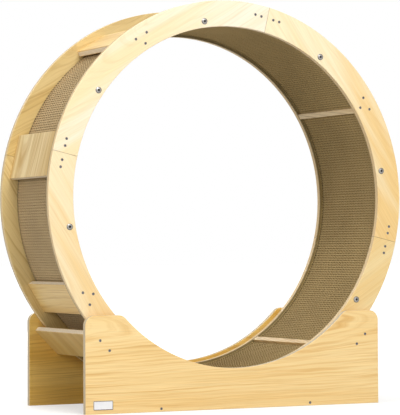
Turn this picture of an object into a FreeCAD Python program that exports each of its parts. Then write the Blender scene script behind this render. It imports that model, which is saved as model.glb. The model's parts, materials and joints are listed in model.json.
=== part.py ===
"""Cat exercise wheel: a wooden wheel that spins on four rollers in a low wooden base.

Millimetres. X runs along the base, -Y is the front, +Z is up. The origin is on the floor,
under the wheel's axis and midway between the two base panels.
"""
import FreeCAD, Part
import math
import os
import re

import Sketcher

os.makedirs("parts", exist_ok=True)
doc = FreeCAD.newDocument("cat_exercise_wheel")

# ---------------------------------------------------------------- driving sizes

SIZES = {
    # the wheel
    "wheel_radius": 500,          # outside of the rings
    "rim_inner_radius": 434,      # inside of the rings
    "wheel_width": 318,           # over both rings
    "axle_height": 530,           # wheel axis above the floor
    "board": 15,                  # every wooden board is this thick
    "first_seam_turn": 76.9,      # the first seam of the rings, in degrees up from +X
    "seam_gap": 0.4,              # the fine line between two ring segments
    "edge_round": 1.2,            # eased edges of the boards
    "cross_radius": 471.5,        # middle of the boards that cross the wheel
    "seam_board_width": 114,
    "tie_board_width": 86,
    "strip_inner_radius": 435,    # inner face of the divider strips
    "pad_inner_radius": 440,
    "pad_thickness": 20,
    "pad_gap": 1,                 # round each pad
    # what holds the wheel together
    "bolt_circle": 450,
    "rod_radius": 5,
    "bolt_radius": 3,
    "bolt_grip": 20,              # length of each ring bolt inside its rod
    "bolt_head_radius": 8,
    "bolt_head_height": 2.2,
    "bolt_socket_flat": 5,        # across the flats
    "bolt_socket_depth": 1.6,
    "hole_clearance": 0.25,
    "thread_clearance": 0.05,
    "screw_radius": 2,
    "screw_head_radius": 3.7,
    "screw_length": 40,
    "screw_slot_reach": 1.9,
    "screw_slot_width": 0.9,
    "screw_slot_depth": 1.2,
    "seam_screw_near": 17.7,
    "seam_screw_far": 35.4,
    "tie_screw_spread": 17.3,
    "strip_screw_radius": 449.7,
    # the base
    "base_length": 830,
    "panel_height": 240,
    "cutout_radius": 428,
    "corner_radius": 25,
    "side_clearance": 12,         # between a ring and the panel beside it
    "stretcher_distance": 513.7,  # from the wheel axis to the middle of the board
    "stretcher_width": 88,
    "stretcher_screw_spread": 17.7,
    "base_board_length": 510,
    "base_screw_reach": 211,
    "badge_length": 52,
    "badge_height": 22,
    "badge_thickness": 1.2,
    "badge_rim": 1.4,
    "badge_recess": 0.5,
    "badge_reach": 368.7,         # from the middle of the base to the badge's middle
    "badge_rise": 21.5,           # from the floor to the badge's middle
    # the rollers
    "roller_angle": 25,           # each side of straight down
    "roller_gap": 0.3,
    "groove_radius": 22,
    "groove_width": 16,
    "flange_radius": 27,
    "flange_width": 3.5,
    "flange_slope": 0.8,
    "bearing_radius": 11,
    "bearing_width": 7,
    "bearing_seal_inner": 6,
    "bearing_seal_outer": 9,
    "bearing_seal_depth": 0.4,
    "bearing_fit": 0.02,
    "roller_bore_radius": 9,
    "axle_radius": 4,
    "running_fit": 0.04,
    "hexagon_flat": 13,           # axle heads and nuts, across the flats
    "axle_head_height": 4,
    "axle_end": 2,                # thread past the nut
    "nut_height": 5,
    "bracket_plate": 2,
    "bracket_gap": 1,             # between a roller and its bracket, each side
    "bracket_length": 60,
    "cheek_radius": 14,
    "bracket_screw_reach": 23,
    "bracket_screw_radius": 1.75,
    "bracket_screw_head_radius": 3.5,
    "bracket_screw_head_height": 2,
    "bracket_screw_length": 12,
}

sheet = doc.addObject("Spreadsheet::Sheet", "Sizes")
for row, (alias, size) in enumerate(SIZES.items(), start=1):
    sheet.set(f"A{row}", alias.replace("_", " "))
    sheet.set(f"B{row}", str(size))
    sheet.setAlias(f"B{row}", alias)
doc.recompute()

# lengths that several pieces share, as formulas on the sheet
HALF_SPAN = "(wheel_width / 2 - board)"             # wheel middle to a ring's inner face
HALF_WHEEL = "wheel_width / 2"
HALF_BASE = "(wheel_width / 2 + side_clearance)"    # base middle to a panel's inner face
HALF_DEPTH = "(wheel_width / 2 + side_clearance + board)"
RIM_MIDDLE = "((wheel_width - board) / 2)"
ROLLER_DISTANCE = "(wheel_radius + roller_gap + groove_radius)"
ROLLER_RISE = f"(axle_height - {ROLLER_DISTANCE} * cos(roller_angle))"
HALF_ROLLER = "(groove_width / 2 + flange_width)"
HALF_BRACKET = f"({HALF_ROLLER} + bracket_gap + bracket_plate)"
FRONT, REAR = -1, 1
QUARTERS = range(4)


def formula(text):
    """Write a formula in the sheet's names as one that other objects can read."""
    return re.sub(r"[a-z_]+", lambda word: f"Sizes.{word[0]}" if word[0] in SIZES else word[0], text)


def number(text):
    """The value of a formula."""
    return float(sheet.evalExpression(formula(text)))


def bind(thing, prop, text):
    thing.setExpression(prop, formula(text))


# ---------------------------------------------------------------- sketches

def new_body(label):
    body = doc.addObject("PartDesign::Body", label)
    body.Label = label
    return body


def origin_feature(body, role):
    return next(item for item in body.Origin.OriginFeatures if item.Role == role)


def new_sketch(body, name, role="XZ_Plane", offset="0"):
    """A sketch on one of the body's own planes; the offset runs along the plane's normal."""
    sketch = body.newObject("Sketcher::SketchObject", name)
    sketch.AttachmentSupport = [(origin_feature(body, role), "")]
    sketch.MapMode = "FlatFace"
    bind(sketch, "AttachmentOffset.Base.z", offset)
    return sketch


def side_sketch(body, name, side, distance):
    """A sketch square to Y, at a distance from the middle towards the front or the rear."""
    return new_sketch(body, name, offset=f"{-side} * {distance}")


def constrain(sketch, constraint, text):
    index = sketch.addConstraint(constraint)
    sketch.renameConstraint(index, f"size_{index}")
    bind(sketch, f"Constraints.size_{index}", text)


def pin_point(sketch, geometry, point, spot):
    """Hold a point of the sketch at a spot given as two formulas."""
    for direction, axis, text in (("DistanceX", -2, spot[0]), ("DistanceY", -1, spot[1])):
        value = number(text)
        if abs(value) < 1e-9:
            sketch.addConstraint(Sketcher.Constraint("PointOnObject", geometry, point, axis))
        else:
            constrain(sketch, Sketcher.Constraint(direction, -1, 1, geometry, point, value), text)


def add_circle(sketch, spot, radius):
    centre = FreeCAD.Vector(number(spot[0]), number(spot[1]), 0)
    circle = sketch.addGeometry(Part.Circle(centre, FreeCAD.Vector(0, 0, 1), number(radius)))
    constrain(sketch, Sketcher.Constraint("Radius", circle, number(radius)), radius)
    pin_point(sketch, circle, 3, spot)


def add_polygon(sketch, corners):
    """A closed outline of straight lines; each corner is two formulas."""
    points = [FreeCAD.Vector(number(x), number(y), 0) for x, y in corners]
    lines = [sketch.addGeometry(Part.LineSegment(start, end))
             for start, end in zip(points, points[1:] + points[:1])]
    for line, following in zip(lines, lines[1:] + lines[:1]):
        sketch.addConstraint(Sketcher.Constraint("Coincident", line, 2, following, 1))
    for line, corner in zip(lines, corners):
        pin_point(sketch, line, 1, corner)


def add_rectangle(sketch, low_x, high_x, low_y, high_y):
    add_polygon(sketch, [(low_x, low_y), (high_x, low_y), (high_x, high_y), (low_x, high_y)])


def add_hexagon(sketch, spot, flat):
    reach = f"({flat} / (2 * cos(30)))"
    add_polygon(sketch, [(f"{spot[0]} + {reach} * cos({turn})", f"{spot[1]} + {reach} * sin({turn})")
                         for turn in range(0, 360, 60)])


def add_cross(sketch, spot, reach, width):
    """The plus-shaped recess of a screw head."""
    steps = [(1, 0.5), (0.5, 0.5), (0.5, 1), (-0.5, 1), (-0.5, 0.5), (-1, 0.5)]
    steps += [(-across, -up) for across, up in steps]
    measure = {1: reach, 0.5: f"{width} / 2", -0.5: f"-{width} / 2", -1: f"-{reach}"}
    add_polygon(sketch, [(f"{spot[0]} + {measure[across]}", f"{spot[1]} + {measure[up]}")
                         for across, up in steps])


def add_quarter(sketch, inner, outer, end_gap):
    """A quarter of a flat ring between +X and +Y, cut back from both axes by the end gap."""
    origin = FreeCAD.Vector(0, 0, 0)
    gap, radii = number(end_gap), [number(inner), number(outer)]
    starts = [math.asin(gap / radius) for radius in radii]
    arcs = [sketch.addGeometry(Part.ArcOfCircle(
        Part.Circle(origin, FreeCAD.Vector(0, 0, 1), radius), start, math.pi / 2 - start))
        for radius, start in zip(radii, starts)]
    ends = [[FreeCAD.Vector(math.sqrt(radius ** 2 - gap ** 2), gap, 0) for radius in radii],
            [FreeCAD.Vector(gap, math.sqrt(radius ** 2 - gap ** 2), 0) for radius in radii]]
    lines = [sketch.addGeometry(Part.LineSegment(*end)) for end in ends]
    for arc, text in zip(arcs, (inner, outer)):
        sketch.addConstraint(Sketcher.Constraint("Coincident", arc, 3, -1, 1))
        constrain(sketch, Sketcher.Constraint("Radius", arc, number(text)), text)
    for point, line in enumerate(lines, start=1):
        sketch.addConstraint(Sketcher.Constraint("Coincident", line, 1, arcs[0], point))
        sketch.addConstraint(Sketcher.Constraint("Coincident", line, 2, arcs[1], point))
    sketch.addConstraint(Sketcher.Constraint("Horizontal", lines[0]))
    sketch.addConstraint(Sketcher.Constraint("Vertical", lines[1]))
    constrain(sketch, Sketcher.Constraint("DistanceY", -1, 1, lines[0], 1, gap), end_gap)
    constrain(sketch, Sketcher.Constraint("DistanceX", -1, 1, lines[1], 1, gap), end_gap)


def polar(radius, turn, across="0"):
    """A spot at a radius and turn from the wheel's axis, moved across the radius."""
    return (f"({radius}) * cos({turn}) - ({across}) * sin({turn})",
            f"({radius}) * sin({turn}) + ({across}) * cos({turn})")


# ---------------------------------------------------------------- features

def pad(body, sketch, length, reverse=False, taper=0):
    feature = body.newObject("PartDesign::Pad", f"{sketch.Name}_pad")
    feature.Profile = sketch
    bind(feature, "Length", length)
    feature.Reversed = reverse
    feature.TaperAngle = taper
    doc.recompute()
    return feature


def pocket(body, sketch, depth, reverse=False):
    before = body.Shape.Volume
    feature = body.newObject("PartDesign::Pocket", f"{sketch.Name}_pocket")
    feature.Profile = sketch
    bind(feature, "Length", depth)
    feature.Reversed = reverse
    doc.recompute()
    assert body.Shape.Volume < before, f"{feature.Name} cuts nothing"
    return feature


def drill_countersunk(body, name, side, distance, spots):
    """Countersunk screw holes, drilled inwards from an outer face."""
    sketch = side_sketch(body, name, side, distance)
    for spot in spots:
        add_circle(sketch, spot, "screw_radius")
    doc.recompute()
    before = body.Shape.Volume
    hole = body.newObject("PartDesign::Hole", f"{name}_hole")
    hole.Profile = sketch
    doc.recompute()
    hole.DepthType = "ThroughAll"
    hole.Threaded = False
    hole.HoleCutType = "Countersink"
    hole.HoleCutCountersinkAngle = 90
    bind(hole, "Diameter", "2 * (screw_radius + hole_clearance)")
    bind(hole, "HoleCutDiameter", "2 * (screw_head_radius + hole_clearance)")
    hole.Reversed = side == REAR
    doc.recompute()
    assert body.Shape.Volume < before, f"{name} cuts nothing"


def drill_ends(body, spots, radius, depth, half_length):
    """Blind holes into both ends of a board that crosses from front to rear."""
    for side, name in ((FRONT, "front_end"), (REAR, "rear_end")):
        sketch = side_sketch(body, name, side, half_length)
        for spot in spots:
            add_circle(sketch, spot, radius)
        pocket(body, sketch, depth, reverse=side == REAR)


def crossing_pad(body, name, half_length, draw):
    """Pad an outline from the rear to the front, the same length each side of the middle."""
    sketch = side_sketch(body, name, REAR, half_length)
    draw(sketch)
    return pad(body, sketch, f"2 * {half_length}")


def round_edges(body, base, radius, wanted):
    """Round the edges of a feature that the test picks out."""
    names = [f"Edge{index}" for index, edge in enumerate(base.Shape.Edges, start=1) if wanted(edge)]
    fillet = body.newObject("PartDesign::Fillet", f"{base.Name}_rounding")
    fillet.Base = (base, names)
    bind(fillet, "Radius", radius)
    doc.recompute()
    return fillet


def along_y(edge):
    """True for a straight edge that runs from front to rear."""
    start, end = edge.Vertexes[0].Point, edge.Vertexes[-1].Point
    return abs(start.x - end.x) < 1e-6 and abs(start.z - end.z) < 1e-6 and edge.Length > 1


def around_pattern(body, features, count):
    """Repeat features evenly about the wheel's axis."""
    pattern = body.newObject("PartDesign::PolarPattern", "around_axis")
    pattern.Originals = features
    pattern.Axis = (origin_feature(body, "Y_Axis"), [""])
    pattern.Angle = 360
    pattern.Occurrences = count
    body.Tip = pattern
    doc.recompute()
    return pattern


def place_on_wheel(body, turn):
    """Put a piece that was drawn about the origin on the wheel's axis, turned up from +X."""
    body.Placement = FreeCAD.Placement(FreeCAD.Vector(), FreeCAD.Rotation(FreeCAD.Vector(0, -1, 0), 1))
    bind(body, "Placement.Base.z", "axle_height")
    bind(body, "Placement.Rotation.Angle", turn)


def seam_turn(quarter):
    return f"first_seam_turn + {90 * quarter}"


def tie_turn(quarter):
    return f"first_seam_turn + {90 * quarter + 45}"


# ---------------------------------------------------------------- the wheel

BOLT_TURNS = (22.5, 67.5)
BOARD_HOLE = "(screw_radius + thread_clearance)"
BOARD_HOLE_DEPTH = "(screw_length - board + 1)"


def seam_screw_spots(turn, signs=(-1, 1)):
    return [polar("cross_radius", turn, f"{sign} * {offset}")
            for sign in signs for offset in ("seam_screw_near", "seam_screw_far")]


def tie_screw_spots(turn):
    return [polar("cross_radius", turn, "tie_screw_spread"),
            polar("cross_radius", turn, "-tie_screw_spread"),
            polar("strip_screw_radius", turn)]


def ring_segment(label, side, quarter):
    """A quarter of a ring, from one seam to the next, drilled for its bolts and screws."""
    body = new_body(label)
    outline = side_sketch(body, "outline", side, HALF_SPAN)
    add_quarter(outline, "rim_inner_radius", "wheel_radius", "seam_gap / 2")
    blank = pad(body, outline, "board", reverse=side == REAR)
    round_edges(body, blank, "edge_round", lambda edge: edge.Curve.TypeId == "Part::GeomCircle")
    spots = seam_screw_spots(0, signs=(1,)) + seam_screw_spots(90, signs=(-1,)) + tie_screw_spots(45)
    drill_countersunk(body, "screw_holes", side, HALF_WHEEL, spots)
    bolts = side_sketch(body, "bolt_holes", side, HALF_WHEEL)
    for turn in BOLT_TURNS:
        add_circle(bolts, polar("bolt_circle", turn), "bolt_radius + hole_clearance")
    pocket(body, bolts, "board", reverse=side == REAR)
    place_on_wheel(body, seam_turn(quarter))


def cross_board(label, width, turn, spots, half_length=HALF_SPAN, middle="cross_radius"):
    """A flat board across from front to rear, square to the radius at its middle."""
    body = new_body(label)
    blank = crossing_pad(body, "section", half_length, lambda sketch: add_rectangle(
        sketch, f"{middle} - board / 2", f"{middle} + board / 2", f"-{width} / 2", f"{width} / 2"))
    round_edges(body, blank, "edge_round", along_y)
    drill_ends(body, spots, BOARD_HOLE, BOARD_HOLE_DEPTH, half_length)
    place_on_wheel(body, turn)


def divider_strip(label, turn):
    """A strip on edge under a tie board, flush inside between two pads."""
    body = new_body(label)
    blank = crossing_pad(body, "section", HALF_SPAN, lambda sketch: add_rectangle(
        sketch, "strip_inner_radius", "cross_radius - board / 2", "-board / 2", "board / 2"))
    inner_edges = number("strip_inner_radius") + 1
    round_edges(body, blank, "edge_round",
                lambda edge: along_y(edge) and edge.CenterOfMass.x < inner_edges)
    drill_ends(body, [polar("strip_screw_radius", 0)], BOARD_HOLE, BOARD_HOLE_DEPTH, HALF_SPAN)
    place_on_wheel(body, turn)


def scratch_pad(label, turn):
    """A curved pad between two divider strips, threaded on two tie rods."""
    body = new_body(label)
    half_length = f"({HALF_SPAN} - pad_gap)"
    crossing_pad(body, "outline", half_length, lambda sketch: add_quarter(
        sketch, "pad_inner_radius", "pad_inner_radius + pad_thickness", "board / 2 + pad_gap"))
    rod_holes = side_sketch(body, "rod_holes", FRONT, half_length)
    for rod_turn in BOLT_TURNS:
        add_circle(rod_holes, polar("bolt_circle", rod_turn), "rod_radius + hole_clearance")
    pocket(body, rod_holes, f"2 * {half_length}")
    place_on_wheel(body, turn)


def tie_rods(label):
    """Eight rods that pull the rings together, threaded at both ends."""
    body = new_body(label)
    rod = crossing_pad(body, "rod", HALF_SPAN, lambda sketch: add_circle(
        sketch, polar("bolt_circle", BOLT_TURNS[0]), "rod_radius"))
    threads = []
    for side, name in ((FRONT, "front_thread"), (REAR, "rear_thread")):
        sketch = side_sketch(body, name, side, HALF_SPAN)
        add_circle(sketch, polar("bolt_circle", BOLT_TURNS[0]), "bolt_radius + thread_clearance")
        threads.append(pocket(body, sketch, "bolt_grip + 1", reverse=side == REAR))
    around_pattern(body, [rod] + threads, 8)
    place_on_wheel(body, seam_turn(0))


def ring_bolts(label, side):
    """Eight flat-headed bolts with a hexagon socket, through a ring into the rods."""
    body = new_body(label)
    spot = polar("bolt_circle", BOLT_TURNS[0])
    head = side_sketch(body, "head", side, HALF_WHEEL)
    add_circle(head, spot, "bolt_head_radius")
    shank = side_sketch(body, "shank", side, HALF_WHEEL)
    add_circle(shank, spot, "bolt_radius")
    socket = side_sketch(body, "socket", side, f"({HALF_WHEEL} + bolt_head_height)")
    add_hexagon(socket, spot, "bolt_socket_flat")
    features = [pad(body, head, "bolt_head_height", reverse=side == REAR),
                pad(body, shank, "board + bolt_grip", reverse=side == FRONT),
                pocket(body, socket, "bolt_socket_depth", reverse=side == REAR)]
    around_pattern(body, features, 8)
    place_on_wheel(body, seam_turn(0))


def countersunk_screws(label, side, distance, spots, repeats=1):
    """Countersunk screws with a cross recess, their heads level with an outer face."""
    body = new_body(label)
    heads = side_sketch(body, "heads", side, distance)
    shanks = side_sketch(body, "shanks", side, distance)
    recesses = side_sketch(body, "recesses", side, distance)
    for spot in spots:
        add_circle(heads, spot, "screw_head_radius")
        add_circle(shanks, spot, "screw_radius")
        add_cross(recesses, spot, "screw_slot_reach", "screw_slot_width")
    inwards = side == FRONT
    features = [pad(body, heads, "screw_head_radius - screw_radius", reverse=inwards, taper=-45),
                pad(body, shanks, "screw_length", reverse=inwards),
                pocket(body, recesses, "screw_slot_depth", reverse=side == REAR)]
    if repeats > 1:
        around_pattern(body, features, repeats)
    return body


for quarter in QUARTERS:
    position = quarter + 1
    ring_segment(f"front_ring_segment_{position}", FRONT, quarter)
    ring_segment(f"rear_ring_segment_{position}", REAR, quarter)
    cross_board(f"seam_board_{position}", "seam_board_width", seam_turn(quarter), seam_screw_spots(0))
    cross_board(f"tie_board_{position}", "tie_board_width", tie_turn(quarter), tie_screw_spots(0)[:2])
    divider_strip(f"divider_strip_{position}", tie_turn(quarter))
    scratch_pad(f"scratch_pad_{position}", tie_turn(quarter))

tie_rods("tie_rods")
for side, word in ((FRONT, "front"), (REAR, "rear")):
    ring_bolts(f"{word}_ring_bolts", side)
    seam_screws = countersunk_screws(f"{word}_seam_screws", side, HALF_WHEEL, seam_screw_spots(0), 4)
    tie_screws = countersunk_screws(f"{word}_tie_screws", side, HALF_WHEEL, tie_screw_spots(0), 4)
    place_on_wheel(seam_screws, seam_turn(0))
    place_on_wheel(tie_screws, tie_turn(0))

# ---------------------------------------------------------------- the base

STRETCHER_TURNS = {"left_stretcher": 225, "right_stretcher": 315}


def raised(spot):
    """Move a spot given about the wheel's axis to the base's own height."""
    return spot[0], f"axle_height + {spot[1]}"


PANEL_SCREW_SPOTS = [raised(polar("stretcher_distance", turn, f"{sign} * stretcher_screw_spread"))
                     for turn in STRETCHER_TURNS.values() for sign in (-1, 1)]
BASE_BOARD_SPOTS = [(f"{sign} * base_screw_reach", "board / 2") for sign in (-1, 1)]


def side_panel(label, side):
    """A panel with a round cut-out above it, its four top corners rounded."""
    body = new_body(label)
    outline = side_sketch(body, "outline", side, HALF_BASE)
    add_rectangle(outline, "-base_length / 2", "base_length / 2", "0", "panel_height")
    pad(body, outline, "board", reverse=side == REAR)
    cutout = side_sketch(body, "cutout", side, HALF_DEPTH)
    add_circle(cutout, ("0", "axle_height"), "cutout_radius")
    cut = pocket(body, cutout, "board", reverse=side == REAR)
    top = number("panel_height") - 1
    corners = round_edges(body, cut, "corner_radius",
                          lambda edge: along_y(edge) and edge.CenterOfMass.z > top)
    round_edges(body, corners, "edge_round", lambda edge: not along_y(edge))
    drill_countersunk(body, "screw_holes", side, HALF_DEPTH, PANEL_SCREW_SPOTS + BASE_BOARD_SPOTS)


def base_board(label):
    """The board on the floor between the panels that carries the roller brackets."""
    body = new_body(label)
    crossing_pad(body, "section", HALF_BASE, lambda sketch: add_rectangle(
        sketch, "-base_board_length / 2", "base_board_length / 2", "0", "board"))
    drill_ends(body, BASE_BOARD_SPOTS, BOARD_HOLE, BOARD_HOLE_DEPTH, HALF_BASE)
    bracket_holes = new_sketch(body, "bracket_holes", "XY_Plane", "board")
    for spot in BRACKET_SCREW_SPOTS:
        add_circle(bracket_holes, spot, "bracket_screw_radius + thread_clearance")
    pocket(body, bracket_holes, "bracket_screw_length")


def badge_plate(label):
    """A bare plate with a raised rim, low on the left of the front panel."""
    body = new_body(label)
    outline = side_sketch(body, "outline", FRONT, HALF_DEPTH)
    add_rectangle(outline, "-badge_reach - badge_length / 2", "-badge_reach + badge_length / 2",
                  "badge_rise - badge_height / 2", "badge_rise + badge_height / 2")
    blank = pad(body, outline, "badge_thickness")
    round_edges(body, blank, "badge_rim", along_y)
    field = side_sketch(body, "field", FRONT, f"({HALF_DEPTH} + badge_thickness)")
    add_rectangle(field, "-badge_reach - badge_length / 2 + badge_rim",
                  "-badge_reach + badge_length / 2 - badge_rim",
                  "badge_rise - badge_height / 2 + badge_rim",
                  "badge_rise + badge_height / 2 - badge_rim")
    pocket(body, field, "badge_recess")


ROLLERS = [(f"{word}_{hand}", side, sign)
           for word, side in (("front", FRONT), ("rear", REAR))
           for hand, sign in (("left", -1), ("right", 1))]
BRACKET_SCREW_SPOTS = [
    (f"{sign} * {ROLLER_DISTANCE} * sin(roller_angle) + {end} * bracket_screw_reach",
     f"{side} * {RIM_MIDDLE}")
    for _, side, sign in ROLLERS for end in (-1, 1)]

for side, word in ((FRONT, "front"), (REAR, "rear")):
    side_panel(f"{word}_panel", side)
    countersunk_screws(f"{word}_panel_screws", side, HALF_DEPTH, PANEL_SCREW_SPOTS + BASE_BOARD_SPOTS)
for label, turn in STRETCHER_TURNS.items():
    cross_board(label, "stretcher_width", f"{turn}", half_length=HALF_BASE,
                spots=[("stretcher_distance", f"{sign} * stretcher_screw_spread") for sign in (-1, 1)],
                middle="stretcher_distance")
base_board("base_board")
badge_plate("badge_plate")

# ---------------------------------------------------------------- the rollers


def place_at_roller(body, side, sign):
    """Put a piece drawn about its own roller's centre in place, its -Y side outwards."""
    half_turn = 180 if side == REAR else 0
    body.Placement = FreeCAD.Placement(FreeCAD.Vector(), FreeCAD.Rotation(FreeCAD.Vector(0, 0, 1), half_turn))
    bind(body, "Placement.Base.x", f"{sign} * {ROLLER_DISTANCE} * sin(roller_angle)")
    bind(body, "Placement.Base.y", f"{side} * {RIM_MIDDLE}")
    bind(body, "Placement.Base.z", ROLLER_RISE)


def revolve(body, profiles):
    """Turn outlines, each drawn as radius and distance along Y, about the Y axis."""
    sketch = new_sketch(body, "profile", "XY_Plane")
    for corners in profiles:
        add_polygon(sketch, corners)
    feature = body.newObject("PartDesign::Revolution", "turned")
    feature.Profile = sketch
    feature.ReferenceAxis = (sketch, ["V_Axis"])
    feature.Angle = 360
    doc.recompute()
    return feature


def roller(label, side, sign):
    """A grooved nylon roller with a bearing seat in each end."""
    body = new_body(label)
    seat, seat_floor = "bearing_radius + bearing_fit", f"{HALF_ROLLER} - bearing_width"
    groove_edge, flange_top = "groove_width / 2", "groove_width / 2 + flange_slope"
    half = [("roller_bore_radius", seat_floor), (seat, seat_floor), (seat, HALF_ROLLER),
            ("flange_radius", HALF_ROLLER), ("flange_radius", flange_top), ("groove_radius", groove_edge)]
    other_half = [(radius, f"-({along})") for radius, along in reversed(half)]
    revolve(body, [half + other_half])
    place_at_roller(body, side, sign)


def bearing_pair(label, side, sign):
    """Two sealed ball bearings, each one closed ring, that turn with their roller."""
    body = new_body(label)
    face, seal, back = HALF_ROLLER, f"{HALF_ROLLER} - bearing_seal_depth", f"{HALF_ROLLER} - bearing_width"
    bore = "axle_radius + running_fit"
    section = [(bore, back), ("bearing_radius", back), ("bearing_radius", face),
               ("bearing_seal_outer", face), ("bearing_seal_outer", seal),
               ("bearing_seal_inner", seal), ("bearing_seal_inner", face), (bore, face)]
    revolve(body, [section, [(radius, f"-({along})") for radius, along in section]])
    place_at_roller(body, side, sign)


def roller_bracket(label, side, sign):
    """A U of bent steel on the base board, with round-topped cheeks for the axle."""
    body = new_body(label)
    floor = f"board - {ROLLER_RISE}"
    plate = side_sketch(body, "plate", REAR, HALF_BRACKET)
    add_rectangle(plate, "-bracket_length / 2", "bracket_length / 2", floor, f"{floor} + bracket_plate")
    pad(body, plate, f"2 * {HALF_BRACKET}")
    cheeks = side_sketch(body, "cheeks", REAR, HALF_BRACKET)
    add_rectangle(cheeks, "-cheek_radius", "cheek_radius", floor, "0")
    pad(body, cheeks, f"2 * {HALF_BRACKET}")
    tops = side_sketch(body, "tops", REAR, HALF_BRACKET)
    add_circle(tops, ("0", "0"), "cheek_radius")
    pad(body, tops, f"2 * {HALF_BRACKET}")
    inside = side_sketch(body, "inside", FRONT, f"({HALF_BRACKET} - bracket_plate)")
    add_rectangle(inside, "-cheek_radius - 1", "cheek_radius + 1", f"{floor} + bracket_plate",
                  "cheek_radius + 1")
    pocket(body, inside, f"2 * ({HALF_BRACKET} - bracket_plate)")
    bore = side_sketch(body, "bore", FRONT, HALF_BRACKET)
    add_circle(bore, ("0", "0"), "axle_radius + thread_clearance")
    pocket(body, bore, f"2 * {HALF_BRACKET}")
    screw_holes = new_sketch(body, "screw_holes", "XY_Plane", f"{floor} + bracket_plate")
    for end in (-1, 1):
        add_circle(screw_holes, (f"{end} * bracket_screw_reach", "0"), "bracket_screw_radius + hole_clearance")
    pocket(body, screw_holes, "bracket_plate")
    place_at_roller(body, side, sign)


def roller_axle(label, side, sign):
    """A hexagon-headed bolt through the bracket and both bearings."""
    body = new_body(label)
    head = side_sketch(body, "head", FRONT, HALF_BRACKET)
    add_hexagon(head, ("0", "0"), "hexagon_flat")
    pad(body, head, "axle_head_height")
    shank = side_sketch(body, "shank", FRONT, HALF_BRACKET)
    add_circle(shank, ("0", "0"), "axle_radius")
    pad(body, shank, f"2 * {HALF_BRACKET} + nut_height + axle_end", reverse=True)
    place_at_roller(body, side, sign)


def axle_nuts(label):
    """One hexagon nut on the inner end of each axle."""
    body = new_body(label)
    for side, name in ((FRONT, "front_nuts"), (REAR, "rear_nuts")):
        sketch = side_sketch(body, name, side, f"({RIM_MIDDLE} - {HALF_BRACKET})")
        for sign in (-1, 1):
            spot = (f"{sign} * {ROLLER_DISTANCE} * sin(roller_angle)", ROLLER_RISE)
            add_hexagon(sketch, spot, "hexagon_flat")
            add_circle(sketch, spot, "axle_radius + thread_clearance")
        pad(body, sketch, "nut_height", reverse=side == FRONT)


def bracket_screws(label):
    """Two pan-headed screws down through each bracket into the base board."""
    body = new_body(label)
    top = "board + bracket_plate"
    heads = new_sketch(body, "heads", "XY_Plane", top)
    shanks = new_sketch(body, "shanks", "XY_Plane", top)
    for spot in BRACKET_SCREW_SPOTS:
        add_circle(heads, spot, "bracket_screw_head_radius")
        add_circle(shanks, spot, "bracket_screw_radius")
    pad(body, heads, "bracket_screw_head_height")
    pad(body, shanks, "bracket_screw_length", reverse=True)


for place, side, sign in ROLLERS:
    roller(f"{place}_roller", side, sign)
    bearing_pair(f"{place}_bearings", side, sign)
    roller_bracket(f"{place}_bracket", side, sign)
    roller_axle(f"{place}_axle", side, sign)
axle_nuts("axle_nuts")
bracket_screws("bracket_screws")

# ---------------------------------------------------------------- check and write

doc.recompute()
for item in doc.Objects:
    assert not {"Invalid", "Error"} & set(item.State), f"{item.Label} failed: {item.State}"

nodes = [item for item in doc.Objects if item.TypeId == "PartDesign::Body"]
for node in nodes:
    shape = node.Shape
    assert not shape.isNull() and shape.isValid() and shape.Solids, f"{node.Label} has no valid shape"

for node in nodes:
    node.Shape.exportStep(f"parts/{node.Label}.step")
    print(f"{node.Label}: {len(node.Shape.Solids)} solid(s), {node.Shape.Volume / 1000:.1f} cm3")
print(f"{len(nodes)} nodes written")
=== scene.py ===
# %% [markdown]
# # Cat exercise wheel
# A wooden wheel, a metre across, for running in. It spins on four grooved rollers hidden in a
# low wooden base. The boards, rollers and brackets come ready made as the frame. This lesson
# gives them their finishes, and builds the pieces whose look depends on fine relief: the
# corrugated scratch pads, the screws and the bolts. Everything is in metres, with +Z up.

# %% Load the frame
import json
import math

import bmesh
import bpy
from mathutils import Matrix, Vector


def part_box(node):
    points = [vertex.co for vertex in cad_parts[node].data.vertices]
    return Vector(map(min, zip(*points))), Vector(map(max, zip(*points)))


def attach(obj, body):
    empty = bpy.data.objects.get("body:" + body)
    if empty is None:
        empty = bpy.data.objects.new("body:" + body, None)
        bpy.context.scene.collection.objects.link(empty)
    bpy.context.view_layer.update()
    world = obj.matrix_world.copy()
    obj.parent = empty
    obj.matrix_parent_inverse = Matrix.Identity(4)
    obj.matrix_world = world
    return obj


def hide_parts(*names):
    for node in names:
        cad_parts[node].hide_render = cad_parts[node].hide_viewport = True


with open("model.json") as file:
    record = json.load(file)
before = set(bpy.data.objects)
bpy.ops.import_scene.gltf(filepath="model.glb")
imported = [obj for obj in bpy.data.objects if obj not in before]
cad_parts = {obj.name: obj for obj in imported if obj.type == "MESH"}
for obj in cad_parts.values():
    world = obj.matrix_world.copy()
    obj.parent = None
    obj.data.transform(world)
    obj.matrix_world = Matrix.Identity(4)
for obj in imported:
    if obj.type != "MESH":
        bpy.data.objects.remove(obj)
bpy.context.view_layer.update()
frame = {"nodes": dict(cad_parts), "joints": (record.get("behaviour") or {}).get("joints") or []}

scene = bpy.context.scene
MM = 0.001

# %% [markdown]
# ## Places worked out from the frame
# The wheel's axis is the joint that it spins on. Everything round the wheel is then placed by a
# radius from that axis and a turn, counted up from +X. The middle of a board's box is the middle
# of the board, so its turn can be read from the frame instead of being typed in again.

# %% The wheel's axis, and the turn of a piece about it
AXIS = Vector(next(j for j in frame["joints"] if j["name"] == "wheel_spin")["pos_m"])
FRONT, REAR = Vector((0, -1, 0)), Vector((0, 1, 0))
QUARTERS = (1, 2, 3, 4)


def middle(node):
    """The middle of a node's box at rest."""
    low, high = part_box(node)
    return (low + high) / 2


def turn_of(node):
    """How far round the axis a node's middle is, in radians up from +X."""
    arm = middle(node) - AXIS
    return math.atan2(arm.z, arm.x)


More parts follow.
